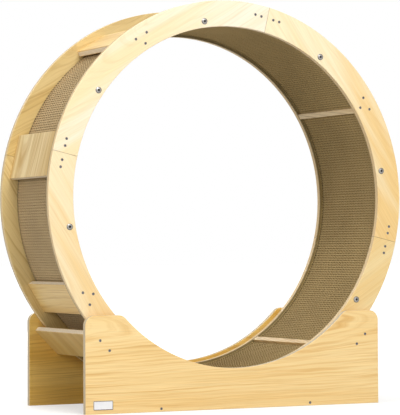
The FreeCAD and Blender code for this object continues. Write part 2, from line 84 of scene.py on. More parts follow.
def spoke(turn):
    """The way straight out from the axis at a turn."""
    return Vector((math.cos(turn), 0, math.sin(turn)))


def tangent(turn):
    """The way round the wheel at a turn."""
    return Vector((-math.sin(turn), 0, math.cos(turn)))


for number in QUARTERS:
    seam, tie = turn_of(f"seam_board_{number}"), turn_of(f"tie_board_{number}")
    print(f"seam {number} at {math.degrees(seam):.1f} degrees, tie board at {math.degrees(tie):.1f}")

# %% [markdown]
# ## Camera
# The picture was taken from about 5.6 m away, left of the middle, at the height of a low table,
# with a long lens, so lines stay almost parallel. The camera is turned from looking straight
# along +Y by three angles, applied from the last to the first: roll, pitch and yaw.

# %% Camera
scene.view_settings.view_transform = "Standard"  # colours come out as they are written
CAMERA_PLACE = (-2.5244, -4.9710, 0.4025)
CAMERA_YAW, CAMERA_PITCH, CAMERA_ROLL = (math.radians(angle) for angle in (26.849, 1.091, -0.258))
LENS = 186.58  # mm, on a 36 mm sensor along the picture's longer side

camera = bpy.data.objects.new("camera", bpy.data.cameras.new("camera"))
camera.data.lens = LENS
camera.data.clip_end = 100  # m, so that the far floor is seen
camera.matrix_world = (Matrix.Translation(CAMERA_PLACE)
                       @ Matrix.Rotation(-CAMERA_YAW, 4, "Z")
                       @ Matrix.Rotation(math.pi / 2 + CAMERA_PITCH, 4, "X")
                       @ Matrix.Rotation(CAMERA_ROLL, 4, "Z"))
scene.collection.objects.link(camera)
scene.camera = camera
print(f"camera {(Vector(CAMERA_PLACE) - AXIS).length:.2f} m from the axis")

# %% [markdown]
# ## Colours and nodes
# Colours are written as the sRGB hex values that a picture editor shows. Shaders work with linear
# light, so one function turns the first into the second. One more small function adds a node
# with its settings and its links, which keeps every material and tree below short to read. The
# part of it that feeds a node stands apart, for the shader that a new material comes with.

# %% Helpers for colours and nodes


def colour(hex_value):
    """An sRGB hex colour such as "#F4E0B4" as linear red, green, blue and alpha."""
    parts = [int(hex_value[start:start + 2], 16) / 255 for start in (1, 3, 5)]
    return (*(part / 12.92 if part <= 0.04045 else ((part + 0.055) / 1.055) ** 2.4
              for part in parts), 1)


def feed(tree, node, inputs):
    """Feed a node's inputs, given in their order, or by name or number.

    Each takes a value, a socket, a node, which stands for its first output, or a list of these."""
    for name, value in inputs.items() if isinstance(inputs, dict) else enumerate(inputs):
        for source in value if isinstance(value, list) else [value]:
            if isinstance(source, bpy.types.Node):
                source = source.outputs[0]
            if isinstance(source, bpy.types.NodeSocket):
                tree.links.new(source, node.inputs[name])
            else:
                node.inputs[name].default_value = source


def add(tree, kind, inputs=(), **settings):
    """Add a node with its settings, and feed it."""
    node = tree.nodes.new(kind)
    for name, value in settings.items():
        setattr(node, name, value)
    feed(tree, node, inputs)
    return node


def fill_ramp(ramp, stops):
    """Give a colour ramp its stops: positions, each with a hex colour or a linear grey level."""
    elements = ramp.color_ramp.elements
    while len(elements) < len(stops):
        elements.new(1)
    for element, (position, shade) in zip(elements, stops.items()):
        element.position = position
        element.color = colour(shade) if isinstance(shade, str) else (shade, shade, shade, 1)
    return ramp


def new_material(name, **plain):
    """A material, its tree and its shader, and the Object coordinates that its patterns read.

    plain sets the shader's sockets that are the same all over."""
    material = bpy.data.materials.new(name)
    material.use_nodes = True
    tree = material.node_tree
    shader = tree.nodes["Principled BSDF"]
    for socket, value in plain.items():
        shader.inputs[socket.replace("_", " ").title().replace("Ior", "IOR")].default_value = value
    return material, tree, shader, add(tree, "ShaderNodeTexCoord").outputs["Object"]


def finish_node(name, material):
    """Give a node of the frame its finish."""
    node = frame["nodes"][name]
    if not node.material_slots:
        node.data.materials.append(material)
    for slot in node.material_slots:
        slot.material = material


print("cream wood in linear light:", [round(part, 3) for part in colour("#FBE6B8")])

# %% [markdown]
# ## Floor and background
# The object stands on a plain white floor in a white room. The camera, and what gloss reflects,
# should see white, yet the light that falls on the object must stay plain. The Light Path node
# tells the two apart: camera and glossy rays meet a white of strength 1, and all other rays meet
# the softer light that the room really gives. The floor's paper is a pale grey, so that it throws
# little light up under the object. A glow that only the camera sees makes it white, a little more
# of it far away, where the lamps don't reach, and the floor keeps the object's shadow.

# %% Room light and floor
ROOM_LEVEL = 0.42                   # of the light that shows a colour as written
GLOW_NEAR, GLOW_FAR = 0.53, 0.82    # of the floor, as the camera sees it
NEAR_FLOOR, FAR_FLOOR = 1.0, 4.5    # m from the object, the second past the lamps' reach
FLOOR_REACH = 40                    # m


def seen_directly(tree):
    """1 for rays from the camera and rays that gloss or glass sends on, else 0."""
    rays = add(tree, "ShaderNodeLightPath").outputs
    gloss = add(tree, "ShaderNodeMath", [rays["Is Camera Ray"], rays["Is Glossy Ray"]],
                operation="MAXIMUM")
    return add(tree, "ShaderNodeMath", [gloss, rays["Is Transmission Ray"]], operation="MAXIMUM")


world = bpy.data.worlds.new("white_room")
world.use_nodes = True
scene.world = world
room = world.node_tree
room.nodes.clear()
soft = add(room, "ShaderNodeBackground", [colour("#FFFFFF"), ROOM_LEVEL])
white = add(room, "ShaderNodeBackground", [colour("#FFFFFF"), 1.0])
either = add(room, "ShaderNodeMixShader", [seen_directly(room), soft, white])
add(room, "ShaderNodeOutputWorld", {"Surface": either})

floor_paper, tree, shader, place = new_material("white_backdrop_paper", roughness=0.9)
grain = add(tree, "ShaderNodeTexNoise", {"Scale": 900.0, "Detail": 2.0})
paper = fill_ramp(add(tree, "ShaderNodeValToRGB", [grain]), {0.0: "#B2B2B0", 1.0: "#BABAB8"})
away = add(tree, "ShaderNodeVectorMath", [place], operation="LENGTH").outputs["Value"]
brighter = add(tree, "ShaderNodeMapRange", [away, NEAR_FLOOR, FAR_FLOOR, GLOW_NEAR, GLOW_FAR])
glow = add(tree, "ShaderNodeEmission", [colour("#FFFFFF"), brighter])
dark = add(tree, "ShaderNodeEmission", {"Strength": 0.0})
lift = add(tree, "ShaderNodeMixShader", [seen_directly(tree), dark, glow])
both = add(tree, "ShaderNodeAddShader", [shader, lift])
feed(tree, shader, {"Base Color": paper})
feed(tree, tree.nodes["Material Output"], {"Surface": both})

sheet = bmesh.new()
bmesh.ops.create_grid(sheet, x_segments=2, y_segments=2, size=FLOOR_REACH)
floor_mesh = bpy.data.meshes.new("floor")
sheet.to_mesh(floor_mesh)
sheet.free()
floor = bpy.data.objects.new("floor", floor_mesh)
floor_mesh.materials.append(floor_paper)
scene.collection.objects.link(floor)
print(f"floor {2 * FLOOR_REACH} m across, room at {ROOM_LEVEL} of plain level")

# %% [markdown]
# ## Lamps
# Four large soft boxes do the rest: high in front, overhead, behind, and low at the left, where it
# lights the outside of the wheel but not the inside. A lamp's power is easier to choose as a
# level: the share of a colour's written brightness that it gives a surface square to it. That
# share is the lamp's watts, divided by the square of pi times its distance in metres, so this is
# turned round.

# %% Lamps
LAMPS = (  # name, degrees round from the front towards +X, degrees up, distance, size, level
    ("key_softbox", -6, 40, 5.0, 2.4, 0.72),
    ("left_softbox", -72, 18, 4.0, 1.6, 0.24),
    ("top_softbox", 200, 80, 4.0, 2.0, 0.28),
    ("back_softbox", 176, 9, 5.0, 2.0, 0.30),
)

for name, around, up, distance, size, level in LAMPS:
    lamp = bpy.data.lights.new(name, "AREA")
    lamp.shape = "SQUARE"
    lamp.size = size
    lamp.energy = level * (math.pi * distance) ** 2
    holder = bpy.data.objects.new(name, lamp)
    around, up = math.radians(around), math.radians(up)
    outwards = Vector((math.sin(around) * math.cos(up), -math.cos(around) * math.cos(up), math.sin(up)))
    holder.location = AXIS + distance * outwards
    holder.rotation_euler = outwards.to_track_quat("Z", "Y").to_euler()
    scene.collection.objects.link(holder)
    print(f"{name}: {lamp.energy:.0f} W at {distance} m")

# %% [markdown]
# ## Wood
# The boards are pale pine-faced plywood, 15 mm thick, sanded and clear lacquered: cream, with
# long soft streaks where the yearly rings come out at the face, and a satin shine. Wood is a
# solid pattern, so it's made the way it grew. Each board is placed in an imaginary log: its
# coordinates are turned so that x runs along the grain, the distance from the log's heart gives
# the rings, and a slight tilt of the heart makes them run out as long arches on the face.
# The edges show the plies: thin layers, every other one cut across its grain. The face veneers
# of one board can differ, so the rear one may have colours of its own.

# %% Yearly rings
RING_PITCH = 7 * MM        # a year's growth, drawn about twice as wide as real so that it shows
NOISE_REACH = (0.3, 0.7)   # most of a noise's values lie between these

# blotches of each pattern to a metre: along the grain, across it, and through the board
SLOW_WAVES = (2.2, 8, 8)
BANDS = (1.1, 17, 17)
FIBRES = (9, 620, 620)
END_GRAIN = (140, 140, 900)


def stretched(tree, place, blotches, **noise):
    """Noise drawn out along the grain, with so many blotches to a metre each way."""
    scaled = add(tree, "ShaderNodeVectorMath", [place, blotches], operation="MULTIPLY")
    inputs = {name.title(): value for name, value in noise.items()}
    return add(tree, "ShaderNodeTexNoise", {"Vector": scaled, "Scale": 1.0, **inputs})


def late_wood_lines(tree, log, shifted, lines, waves):
    """How strongly the dark late wood of some year shows at each spot, from 0 to 1."""
    # the year that a spot grew in: its distance from the heart, bent by slow waves
    section = add(tree, "ShaderNodeVectorMath", [log, (0, 1, 1)], operation="MULTIPLY")
    radius = add(tree, "ShaderNodeVectorMath", [section], operation="LENGTH").outputs["Value"]
    slow = stretched(tree, shifted, SLOW_WAVES, detail=3.0)
    bent = add(tree, "ShaderNodeMath", [slow, waves, radius], operation="MULTIPLY_ADD")
    years = add(tree, "ShaderNodeMath", [bent, RING_PITCH], operation="DIVIDE")

    # late wood comes late in the year, strong in some years, and broken along the grain
    season = add(tree, "ShaderNodeMath", [years], operation="FRACT")
    late = fill_ramp(add(tree, "ShaderNodeValToRGB", [season]),
                     {0.0: 0.3, 0.25: 0.0, 0.75: 1.0, 1.0: 0.3})
    down_grain = add(tree, "ShaderNodeSeparateXYZ", [shifted]).outputs["X"]
    year_and_place = add(tree, "ShaderNodeCombineXYZ", [years, down_grain])
    figure = stretched(tree, year_and_place, (lines, 3.2, 0), detail=4.0, roughness=0.6)
    strong = add(tree, "ShaderNodeMapRange", [figure, 0.46, 0.68])
    crisp = add(tree, "ShaderNodeMath", [late, 0.45, 0.55], operation="MULTIPLY_ADD")
    return add(tree, "ShaderNodeMath", [strong, crisp], operation="MULTIPLY")


print(f"rings {RING_PITCH / MM:.0f} mm apart")

# %% Plies on the edge
FACE_DEPTH = 5.9 * MM      # from a board's middle to the glue under its face veneer
PLY = 1.5 * MM
PLIES = ("#F4DAA4", "#C6A26A")   # the colours of the edge's two kinds of layer


def plied(tree, depth, shifted, plies, face):
    """A board's colour: the face's on its veneers, and the plies' colours on the edge between.

    Every other layer of the edge is end grain, darker and duller."""
    layer = add(tree, "ShaderNodeMath", [depth, PLY], operation="DIVIDE")
    every_other = add(tree, "ShaderNodeMath", [layer, 1.0], operation="PINGPONG")
    sharper = add(tree, "ShaderNodeMapRange", [every_other, 0.42, 0.58])
    mottle = stretched(tree, shifted, END_GRAIN, detail=2.0)
    mixed = add(tree, "ShaderNodeMath", [sharper, 0.55, mottle], operation="MULTIPLY_ADD")
    share = add(tree, "ShaderNodeMapRange", [mixed, 0.3, 1.25])
    edge = add(tree, "ShaderNodeMix", {0: share, 6: colour(plies[0]), 7: colour(plies[1])},
               data_type="RGBA")
    off_middle = add(tree, "ShaderNodeMath", [depth], operation="ABSOLUTE")
    on_face = add(tree, "ShaderNodeMath", [off_middle, FACE_DEPTH], operation="GREATER_THAN")
    return add(tree, "ShaderNodeMix", {0: on_face, 6: edge.outputs[2], 7: face},
               data_type="RGBA").outputs[2]


print(f"plies {PLY / MM:.1f} mm thick")

# %% Wood made as it grew


def wood(name, centre, along, across, veneer, heart_depth=0.11, heart_aside=0.03, tilt=7.0,
         offset=0.0, streaks=0.5, lines=0.85, waves=0.06, drift=0.0, plies=PLIES, behind=(),
         dust_and_shade=None):
    """Lacquered pine. A veneer is its pale, warm and late-wood colours. The heart of the log lies
    heart_depth under the face and heart_aside to the side, so many metres, and tilts by tilt degrees.

    There are so many lines to a year's growth, and slow waves bend them by so many metres. The
    tint drifts from pale to warm along the board, by so much of the bands' noise to a metre.
    plies are the colours of the edge's layers, or nothing on solid wood. behind is the veneer on
    the board's rear face, where it differs. The nodes given last darken the wood with dust and
    painted shade."""
    material, tree, shader, place = new_material(name, coat_weight=0.1, coat_roughness=0.35)
    board_turn = Matrix((along, across, along.cross(across))).transposed().to_euler()
    board = add(tree, "ShaderNodeMapping", [place, centre, board_turn], vector_type="TEXTURE")
    log = add(tree, "ShaderNodeMapping", [board, (offset, heart_aside, -heart_depth),
                                          (0, math.radians(tilt), 0)], vector_type="TEXTURE")
    shifted = add(tree, "ShaderNodeVectorMath", [board, (offset * 7, offset * 3, offset)],
                  operation="ADD")
    from_middle, _, depth = add(tree, "ShaderNodeSeparateXYZ", [board]).outputs
    drawn = late_wood_lines(tree, log, shifted, lines, waves)
    line_share = add(tree, "ShaderNodeMath", [drawn, streaks], operation="MULTIPLY")

    # broad bands of sapwood and heartwood, a few centimetres wide, and the fibres
    band = stretched(tree, shifted, BANDS, detail=3.0, roughness=0.6)
    drifted = add(tree, "ShaderNodeMath", [from_middle, drift, band], operation="MULTIPLY_ADD")
    warmth = add(tree, "ShaderNodeMapRange", [drifted, 0.36, 0.66])
    fibre = stretched(tree, shifted, FIBRES, detail=3.0)

    def face_of(pale, warm, late_wood):
        tint = add(tree, "ShaderNodeMix", {0: warmth, 6: colour(pale), 7: colour(warm)},
                   data_type="RGBA").outputs[2]
        return add(tree, "ShaderNodeMix", {0: line_share, 6: tint, 7: colour(late_wood)},
                   data_type="RGBA").outputs[2]

    grown = face_of(*veneer)
    if behind:
        sideways = add(tree, "ShaderNodeSeparateXYZ", [place]).outputs["Y"]
        at_back = add(tree, "ShaderNodeMath", [sideways, centre.y], operation="GREATER_THAN")
        grown = add(tree, "ShaderNodeMix", {0: at_back, 6: grown, 7: face_of(*behind)},
                    data_type="RGBA").outputs[2]
    lighter = add(tree, "ShaderNodeMapRange", [fibre, *NOISE_REACH, 0.93, 1.03])
    skin = add(tree, "ShaderNodeVectorMath", [grown, lighter], operation="MULTIPLY")
    if plies:
        skin = plied(tree, depth, shifted, plies, skin)
    if dust_and_shade:
        skin = add(tree, "ShaderNodeVectorMath", [skin, dust_and_shade(tree, board)], operation="MULTIPLY")
    relief = add(tree, "ShaderNodeBump", {"Height": fibre, "Strength": 0.25, "Distance": 0.2 * MM})
    shine = add(tree, "ShaderNodeMapRange", [fibre, *NOISE_REACH, 0.44, 0.58])
    feed(tree, shader, {"Base Color": skin, "Normal": relief, "Roughness": shine})
    return material


def finish_board(node, along, across, veneer, kind="lacquered_pine", **figure):
    """Give a board of the frame wood of its own, with its grain along one way."""
    finish_node(node, wood(f"{kind}_{node}", middle(node), along, across, veneer, **figure))


print("wood is ready to be sawn")

# %% [markdown]
# ## The rings
# Each ring is four quarter segments sawn from straight boards, so the grain of a segment runs
# straight along the chord at its middle and not round the wheel. That is what makes the seams
# visible: the streaks change direction there. Each segment also has a tint of its own, which partly
# paints light: the ring is paler at its upper left, as if lit more strongly there. The rear ring's
# side that faces the pads has darker colours, which are painted shade. Dust has gathered in the
# seams, and painted shade darkens two edges.

# %% Dust and painted shade on a segment
SEGMENT_MIDDLE = 0.467     # m from the wheel's axis
LIP = 441 * MM             # the ring's inner face shows a lip as far out as the pads
OUTER_RIM = 499 * MM
SEAM_DUST = 0.7            # of the painted shade on the edges
DUST_AND_SHADE_LEFT = 0.4               # what the darkest dust and painted shade leave of the wood's colour


def dust_and_shade_on_ring(pads_way):
    """Nodes for dust in the seams at a segment's ends, and for painted shade on the edge of the lip that
    meets the pads, which lie towards +Y or -Y as pads_way is 1 or -1, and on the outer rim's rear edge."""
    def dust_and_shade(tree, board):
        along, across, rearwards = add(tree, "ShaderNodeSeparateXYZ", [board]).outputs
        outwards = add(tree, "ShaderNodeMath", [across, SEGMENT_MIDDLE], operation="ADD")
        aside = add(tree, "ShaderNodeMath", [along], operation="ABSOLUTE")
        to_end = add(tree, "ShaderNodeMath", [outwards, aside], operation="SUBTRACT")
        in_seam = add(tree, "ShaderNodeMapRange", [to_end, 0.5 * MM, 1.3 * MM, SEAM_DUST, 0.0])
        in_plane = add(tree, "ShaderNodeCombineXYZ", [along, outwards])
        radius = add(tree, "ShaderNodeVectorMath", [in_plane], operation="LENGTH").outputs["Value"]
        # painted shade on the lip's edge that meets the pads
        on_lip = add(tree, "ShaderNodeMapRange", [radius, LIP - 1 * MM, LIP, 1.0, 0.0])
        inwards = add(tree, "ShaderNodeMath", [rearwards, pads_way], operation="MULTIPLY")
        by_pads = add(tree, "ShaderNodeMapRange", [inwards, 4.5 * MM, 7.2 * MM])
        lip_edge = add(tree, "ShaderNodeMath", [on_lip, by_pads], operation="MULTIPLY")
        # painted shade on the outer rim's rear edge
        on_rim = add(tree, "ShaderNodeMapRange", [radius, OUTER_RIM - 0.5 * MM, OUTER_RIM])
        at_rear = add(tree, "ShaderNodeMapRange", [rearwards, 2.8 * MM, 4.2 * MM])
        rim_edge = add(tree, "ShaderNodeMath", [on_rim, at_rear], operation="MULTIPLY")
        edges = add(tree, "ShaderNodeMath", [lip_edge, rim_edge], operation="MAXIMUM")
        darkest = add(tree, "ShaderNodeMath", [in_seam, edges], operation="MAXIMUM")
        return add(tree, "ShaderNodeMapRange", [darkest, 0, 1, 1.0, DUST_AND_SHADE_LEFT])
    return dust_and_shade


# the lip and the rim carry painted shade
print(f"painted shade on the lip at {LIP / MM:.0f} mm and the rim at {OUTER_RIM / MM:.0f} mm from the axis")

# %% Wood for the ring segments
# the tints partly paint light: the ring is paler at its upper left, as if lit more strongly there
SEGMENT_TINTS_AND_LIGHT = {  # pale tint, warm tint and drift of each quarter, from the seam of the same number
    1: ("#FCF0D8", "#F9E2B2", 0.4),
    2: ("#FAE5BA", "#F3CF8E", 0.6),
    3: ("#F5DEA8", "#EECC8A", 0.0),
    4: ("#FBEAC2", "#F2CD8A", -0.6),
}
LATE_WOOD = "#DDA64E"
FAINT_LATE_WOOD = "#F0D098"   # the rear's strongly drawn lines look like the front's with this
# painted shade: the rear ring's side that faces the pads has darker colours than its back
SHADED_VENEER = ("#DCC286", "#D4B674", "#AC8640")

for number in QUARTERS:
    turn = turn_of(f"tie_board_{number}")
    pale, warm, drift = SEGMENT_TINTS_AND_LIGHT[number]
    front = {"veneer": (pale, warm, LATE_WOOD), "offset": 0.31 * number, "streaks": 0.27,
             "dust_and_shade": dust_and_shade_on_ring(1)}
    rear = {"veneer": SHADED_VENEER, "behind": (pale, warm, FAINT_LATE_WOOD),
            "offset": 0.31 * number + 0.17, "streaks": 0.7, "dust_and_shade": dust_and_shade_on_ring(-1)}
    for side, look in (("front", front), ("rear", rear)):
        node = f"{side}_ring_segment_{number}"
        centre = AXIS + SEGMENT_MIDDLE * spoke(turn)
        centre.y = middle(node).y
        finish_node(node, wood(f"lacquered_pine_{node}", centre, tangent(turn), spoke(turn),
                               lines=1.7, drift=drift, **look))
print("8 ring segments finished")

# %% [markdown]
# ## The boards that cross the wheel
# Behind each seam a wide board ties the segments together, with its grain running round the
# wheel. In the middle of each segment a narrower tie board has its grain across the wheel, and
# under it a divider strip on edge separates the pads. The strip is solid wood, with no plies.

# %% Wood for the cross boards and strips
PALE_PLIES = ("#FFF6E2", "#DCC4A0")
STRAIGHT_GRAIN = {"heart_depth": 0.16, "tilt": 1.5, "waves": 0.025, "lines": 1.5, "streaks": 0.9,
                  "plies": PALE_PLIES}
STRIP_GRAIN = {"heart_aside": 0.2, "tilt": 1.0, "waves": 0.01, "lines": 2.6, "streaks": 0.9, "plies": ()}
STRIP_SLANT = math.radians(8)   # of a strip's grain, off square to the wheel

for number in QUARTERS:
    seam, tie = (turn_of(f"{kind}_board_{number}") for kind in ("seam", "tie"))
    finish_board(f"seam_board_{number}", tangent(seam), REAR, ("#EED6A0", "#C0963E", "#B88A36"),
                 offset=0.23 * number, heart_aside=0.08, **STRAIGHT_GRAIN)
    finish_board(f"tie_board_{number}", REAR, tangent(tie), ("#F0D290", "#DCB469", "#C09049"),
                 offset=0.41 * number, heart_aside=0.2, **STRAIGHT_GRAIN)
    slanted = Matrix.Rotation(STRIP_SLANT, 3, spoke(tie))
    finish_board(f"divider_strip_{number}", slanted @ REAR, slanted @ tangent(tie),
                 ("#F0D8A8", "#DDBA80", "#906A38"), kind="planed_pine", offset=0.37 * number,
                 **STRIP_GRAIN)
print("8 cross boards and 4 strips finished")

# %% [markdown]
# ## The base
# Two wide panels with the grain running level, two stretchers between them with the grain down
# the slope, and the base board on the floor. The panels show the strongest figure of all, wavy
# lines that run the whole length.

# %% Wood for the base
LEVEL, UP = Vector((1, 0, 0)), Vector((0, 0, 1))
WASHED_PLIES = ("#DCCBAA", "#A89676")   # the base's edges are greyer than the wheel's
FINE_GRAIN = {**STRAIGHT_GRAIN, "heart_aside": 0.09, "lines": 2.7, "streaks": 0.8, "waves": 0.02,
              "plies": WASHED_PLIES}
OUTSIDE = ("#FCDD9F", "#F5D08C", "#DAA24A")   # the veneer on the outside of both panels

finish_board("front_panel", LEVEL, UP, OUTSIDE, offset=0.4, **FINE_GRAIN)
# painted shade: the rear panel's inner face has darker, more golden colours than its outside
finish_board("rear_panel", LEVEL, UP, ("#F4D078", "#E6B856", "#BC8838"), behind=OUTSIDE,
             offset=1.3, **FINE_GRAIN)
for offset, node in ((0.6, "left_stretcher"), (1.1, "right_stretcher")):
    finish_board(node, tangent(turn_of(node)), REAR, ("#D8B872", "#C09A54", LATE_WOOD),
                 offset=offset, tilt=4.0, streaks=0.4, plies=PALE_PLIES)
finish_board("base_board", LEVEL, REAR, ("#F2D498", "#E2BA74", LATE_WOOD), offset=0.9, tilt=4.0,
             streaks=0.6)
print("panels, stretchers and base board finished")

# %% [markdown]
# ## Geometry Nodes helpers
# What repeats is made by Geometry Nodes: cardboard cells, screws and bolts. A tree is built in
# the script with one named input for each of its sizes. It runs on a small mesh that says where
# things go, and the result is kept as a plain mesh, because a modifier left on a piece would
# still be working when the piece is exported.

# %% Helpers that start, end and run a tree
JOIN_WITHIN = 0.001 * MM   # corners that are this close are one corner


def new_tree(name, **inputs):
    """A tree with a geometry input and named inputs; returns it and its input sockets."""
    tree = bpy.data.node_groups.new(name, "GeometryNodeTree")
    tree.interface.new_socket("Geometry", in_out="OUTPUT", socket_type="NodeSocketGeometry")
    tree.interface.new_socket("Geometry", in_out="INPUT", socket_type="NodeSocketGeometry")
    for label, kind in inputs.items():
        tree.interface.new_socket(label, in_out="INPUT", socket_type=f"NodeSocket{kind}")
    return tree, tree.nodes.new("NodeGroupInput").outputs


def end_tree(tree, geometry, material):
    """Flat shading, Realize Instances, because the export drops instances, and Set Material."""
    faceted = add(tree, "GeometryNodeSetShadeSmooth", {"Geometry": geometry, "Shade Smooth": False})
    real = add(tree, "GeometryNodeRealizeInstances", {"Geometry": faceted})
    painted = add(tree, "GeometryNodeSetMaterial", {"Geometry": real, "Material": material})
    add(tree, "NodeGroupOutput", {"Geometry": painted})
    print(f"{len(tree.nodes)} nodes in the tree {tree.name}")


def run_tree(name, start, tree, **values):
    """Run a tree on a start mesh, and keep what it makes as a plain mesh at the origin."""
    piece = bpy.data.objects.new(name, start)
    scene.collection.objects.link(piece)
    modifier = piece.modifiers.new(tree.name, "NODES")
    modifier.node_group = tree
    for socket in tree.interface.items_tree:
        if socket.in_out == "INPUT" and socket.name in values:
            modifier[socket.identifier] = values[socket.name]
    graph = bpy.context.evaluated_depsgraph_get()
    made = bpy.data.meshes.new_from_object(piece.evaluated_get(graph), depsgraph=graph)
    made.name = name
    piece.modifiers.remove(modifier)
    piece.data = made
    bpy.data.meshes.remove(start)
    print(f"{name}: {len(made.polygons)} faces")
    return piece


def merged(node):
    """A node's mesh with its loose triangles joined at their corners, for bmesh to work on."""
    joined = bmesh.new()
    joined.from_mesh(frame["nodes"][node].data)
    bmesh.ops.remove_doubles(joined, verts=joined.verts, dist=JOIN_WITHIN)
    return joined


print(f"corners within {JOIN_WITHIN / MM} mm of each other are joined")

# %% [markdown]
# ## Scratch pads
# The runway is corrugated cardboard, stood on edge: strip after strip across the wheel, each one
# a flat liner and a wavy flute, with the cut edges as the surface to run on. On the outside of
# the wheel the same cells show. A pad is made flat and then rolled up, just as the real one is:
#
# 1. lines across the pad, one for each strip, evenly spaced;
# 2. a copy of them bent into waves, each strip's waves a little out of step with the last;
# 3. every line swept with a small wedge, blunt side out, which makes a wall of paper;
# 4. the whole sheet rolled round the wheel's axis;
# 5. the frame's plain pad, drawn in on both faces, as the bottom of the cells.
#
# Where two strips meet, two liners are glued together, so that wall is twice as thick. Real strips
# are about 4 mm apart. They're drawn nearly twice as coarse, so that the rows of cells show. A pad
# has thousands of cells, so a wall is a wedge of three sides, with few points to a wave.

# %% Sizes of a pad
PAD_STRIPS = 100           # along the runway
PAD_FLUTES = 20            # across the wheel
FLUTE_SAMPLES = 7          # points to each wave
PAPER = 1.0 * MM           # drawn thicker, like the cells
LINER = 2 * PAPER
WELL = 3.5 * MM            # how deep the cells are before the pad's core
FLUTE_DRIFT = 1.1          # radians that neighbouring strips may be out of step

pad_radii = [math.hypot(corner.co.x - AXIS.x, corner.co.z - AXIS.z)
             for corner in frame["nodes"]["scratch_pad_1"].data.vertices]
PAD_INNER, PAD_OUTER = min(pad_radii), max(pad_radii)
PAD_MIDDLE = (PAD_INNER + PAD_OUTER) / 2
PAD_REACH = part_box("scratch_pad_1")[1].y   # from the wheel's middle plane
print(f"pads from {PAD_INNER / MM:.1f} to {PAD_OUTER / MM:.1f} mm from the axis")

# %% One sheet of paper walls
WALL_SIDES = 3             # of a wall's section, a wedge with its blunt side out
FLUTE_SWING = 0.46         # of a strip, to each side of its middle
SLOW_DRIFT = 6.0           # radians that the flutes also drift over many strips
SLOW_TURNS = 0.21          # of that drift's ups and downs to a strip


def fluted(tree, size, lines, step):
    """Bend straight lines into flutes, each strip's a little out of step with the last."""
    strip = add(tree, "GeometryNodeCurveOfPoint").outputs["Curve Index"]
    drift = add(tree, "ShaderNodeTexNoise", {"W": strip, "Scale": SLOW_TURNS, "Detail": 2.0},
                noise_dimensions="1D")
    slowly = add(tree, "ShaderNodeMath", [drift, SLOW_DRIFT, size["Seed"]], operation="MULTIPLY_ADD")
    by_chance = add(tree, "FunctionNodeRandomValue", {2: 0.0, 3: size["Drift"], "ID": strip,
                                                      "Seed": size["Seed"]}).outputs[1]
    out_of_step = add(tree, "ShaderNodeMath", [slowly, by_chance], operation="ADD")
    spot = add(tree, "ShaderNodeSeparateXYZ", [add(tree, "GeometryNodeInputPosition")])
    share = add(tree, "ShaderNodeMath", [spot.outputs["Y"], size["Reach"]], operation="DIVIDE")
    waves = add(tree, "ShaderNodeMath", [size["Flutes"], math.pi], operation="MULTIPLY")
    phase = add(tree, "ShaderNodeMath", [share, waves, out_of_step], operation="MULTIPLY_ADD")
    wave = add(tree, "ShaderNodeMath", [phase], operation="SINE")
    swing = add(tree, "ShaderNodeMath", [wave, FLUTE_SWING, 0.5], operation="MULTIPLY_ADD")
    shift = add(tree, "ShaderNodeMath", [swing, step], operation="MULTIPLY")
    return add(tree, "GeometryNodeSetPosition", {
        "Geometry": lines, "Offset": add(tree, "ShaderNodeCombineXYZ", [shift])})


def wedge(tree, size, thick, outside):
    """The section of a wall: a circle of three points, stretched, its blunt side the cut edge.

    In a circle of radius 1, the three points span 3/2 one way and the root of 3 the other."""
    tall = add(tree, "ShaderNodeMath", [size["Well"], 2 / 3], operation="MULTIPLY")
    wide = add(tree, "ShaderNodeMath", [size[thick], 1 / math.sqrt(3)], operation="MULTIPLY")
    centred = add(tree, "ShaderNodeMath", [size["Well"], (1 if outside else -1) / 6],
                  operation="MULTIPLY")
    return add(tree, "GeometryNodeTransform", {
        "Geometry": add(tree, "GeometryNodeCurvePrimitiveCircle",
                        {"Resolution": WALL_SIDES, "Radius": 1.0}),
        "Translation": add(tree, "ShaderNodeCombineXYZ", [centred]),
        "Rotation": (0, 0, math.pi if outside else 0),
        "Scale": add(tree, "ShaderNodeCombineXYZ", [tall, wide, 1.0])})


def walls(tree, size, wavy, outside):
    """The paper walls of one kind on one face of the pad, laid out flat.

    Flat, x runs along the runway, y is across the wheel and z is the distance from the axis."""
    half_well = add(tree, "ShaderNodeMath", [size["Well"], 0.5], operation="MULTIPLY")
    level = add(tree, "ShaderNodeMath", [size["Outer" if outside else "Inner"], half_well],
                operation="SUBTRACT" if outside else "ADD")
    step = add(tree, "ShaderNodeMath", [size["Length"], size["Strips"]], operation="DIVIDE")
    count = size["Strips"]
    if not wavy:
        count = add(tree, "ShaderNodeMath", [count, 1], operation="ADD")
    rows = add(tree, "GeometryNodeMeshLine", {
        "Count": count, "Start Location": add(tree, "ShaderNodeCombineXYZ", {"Z": level}),
        "Offset": add(tree, "ShaderNodeCombineXYZ", [step])})
    near = add(tree, "ShaderNodeMath", [size["Reach"], -1], operation="MULTIPLY")
    line = add(tree, "GeometryNodeCurvePrimitiveLine",
               {"Start": add(tree, "ShaderNodeCombineXYZ", {"Y": near}),
                "End": add(tree, "ShaderNodeCombineXYZ", {"Y": size["Reach"]})})
    if wavy:
        points = add(tree, "ShaderNodeMath", [size["Flutes"], size["Samples"], 1],
                     operation="MULTIPLY_ADD")
        line = add(tree, "GeometryNodeResampleCurve", {"Curve": line, "Count": points})
    lines = add(tree, "GeometryNodeRealizeInstances", {
        "Geometry": add(tree, "GeometryNodeInstanceOnPoints", {"Points": rows, "Instance": line})})
    if wavy:
        lines = fluted(tree, size, lines, step)
    upright = add(tree, "GeometryNodeSetCurveNormal", {"Curve": lines}, mode="Z_UP")
    section = wedge(tree, size, "Paper" if wavy else "Liner", outside)
    return add(tree, "GeometryNodeCurveToMesh",
               {"Curve": upright, "Profile Curve": section, "Fill Caps": True})


print(f"{PAD_FLUTES * FLUTE_SAMPLES + 1} points to each wavy line")

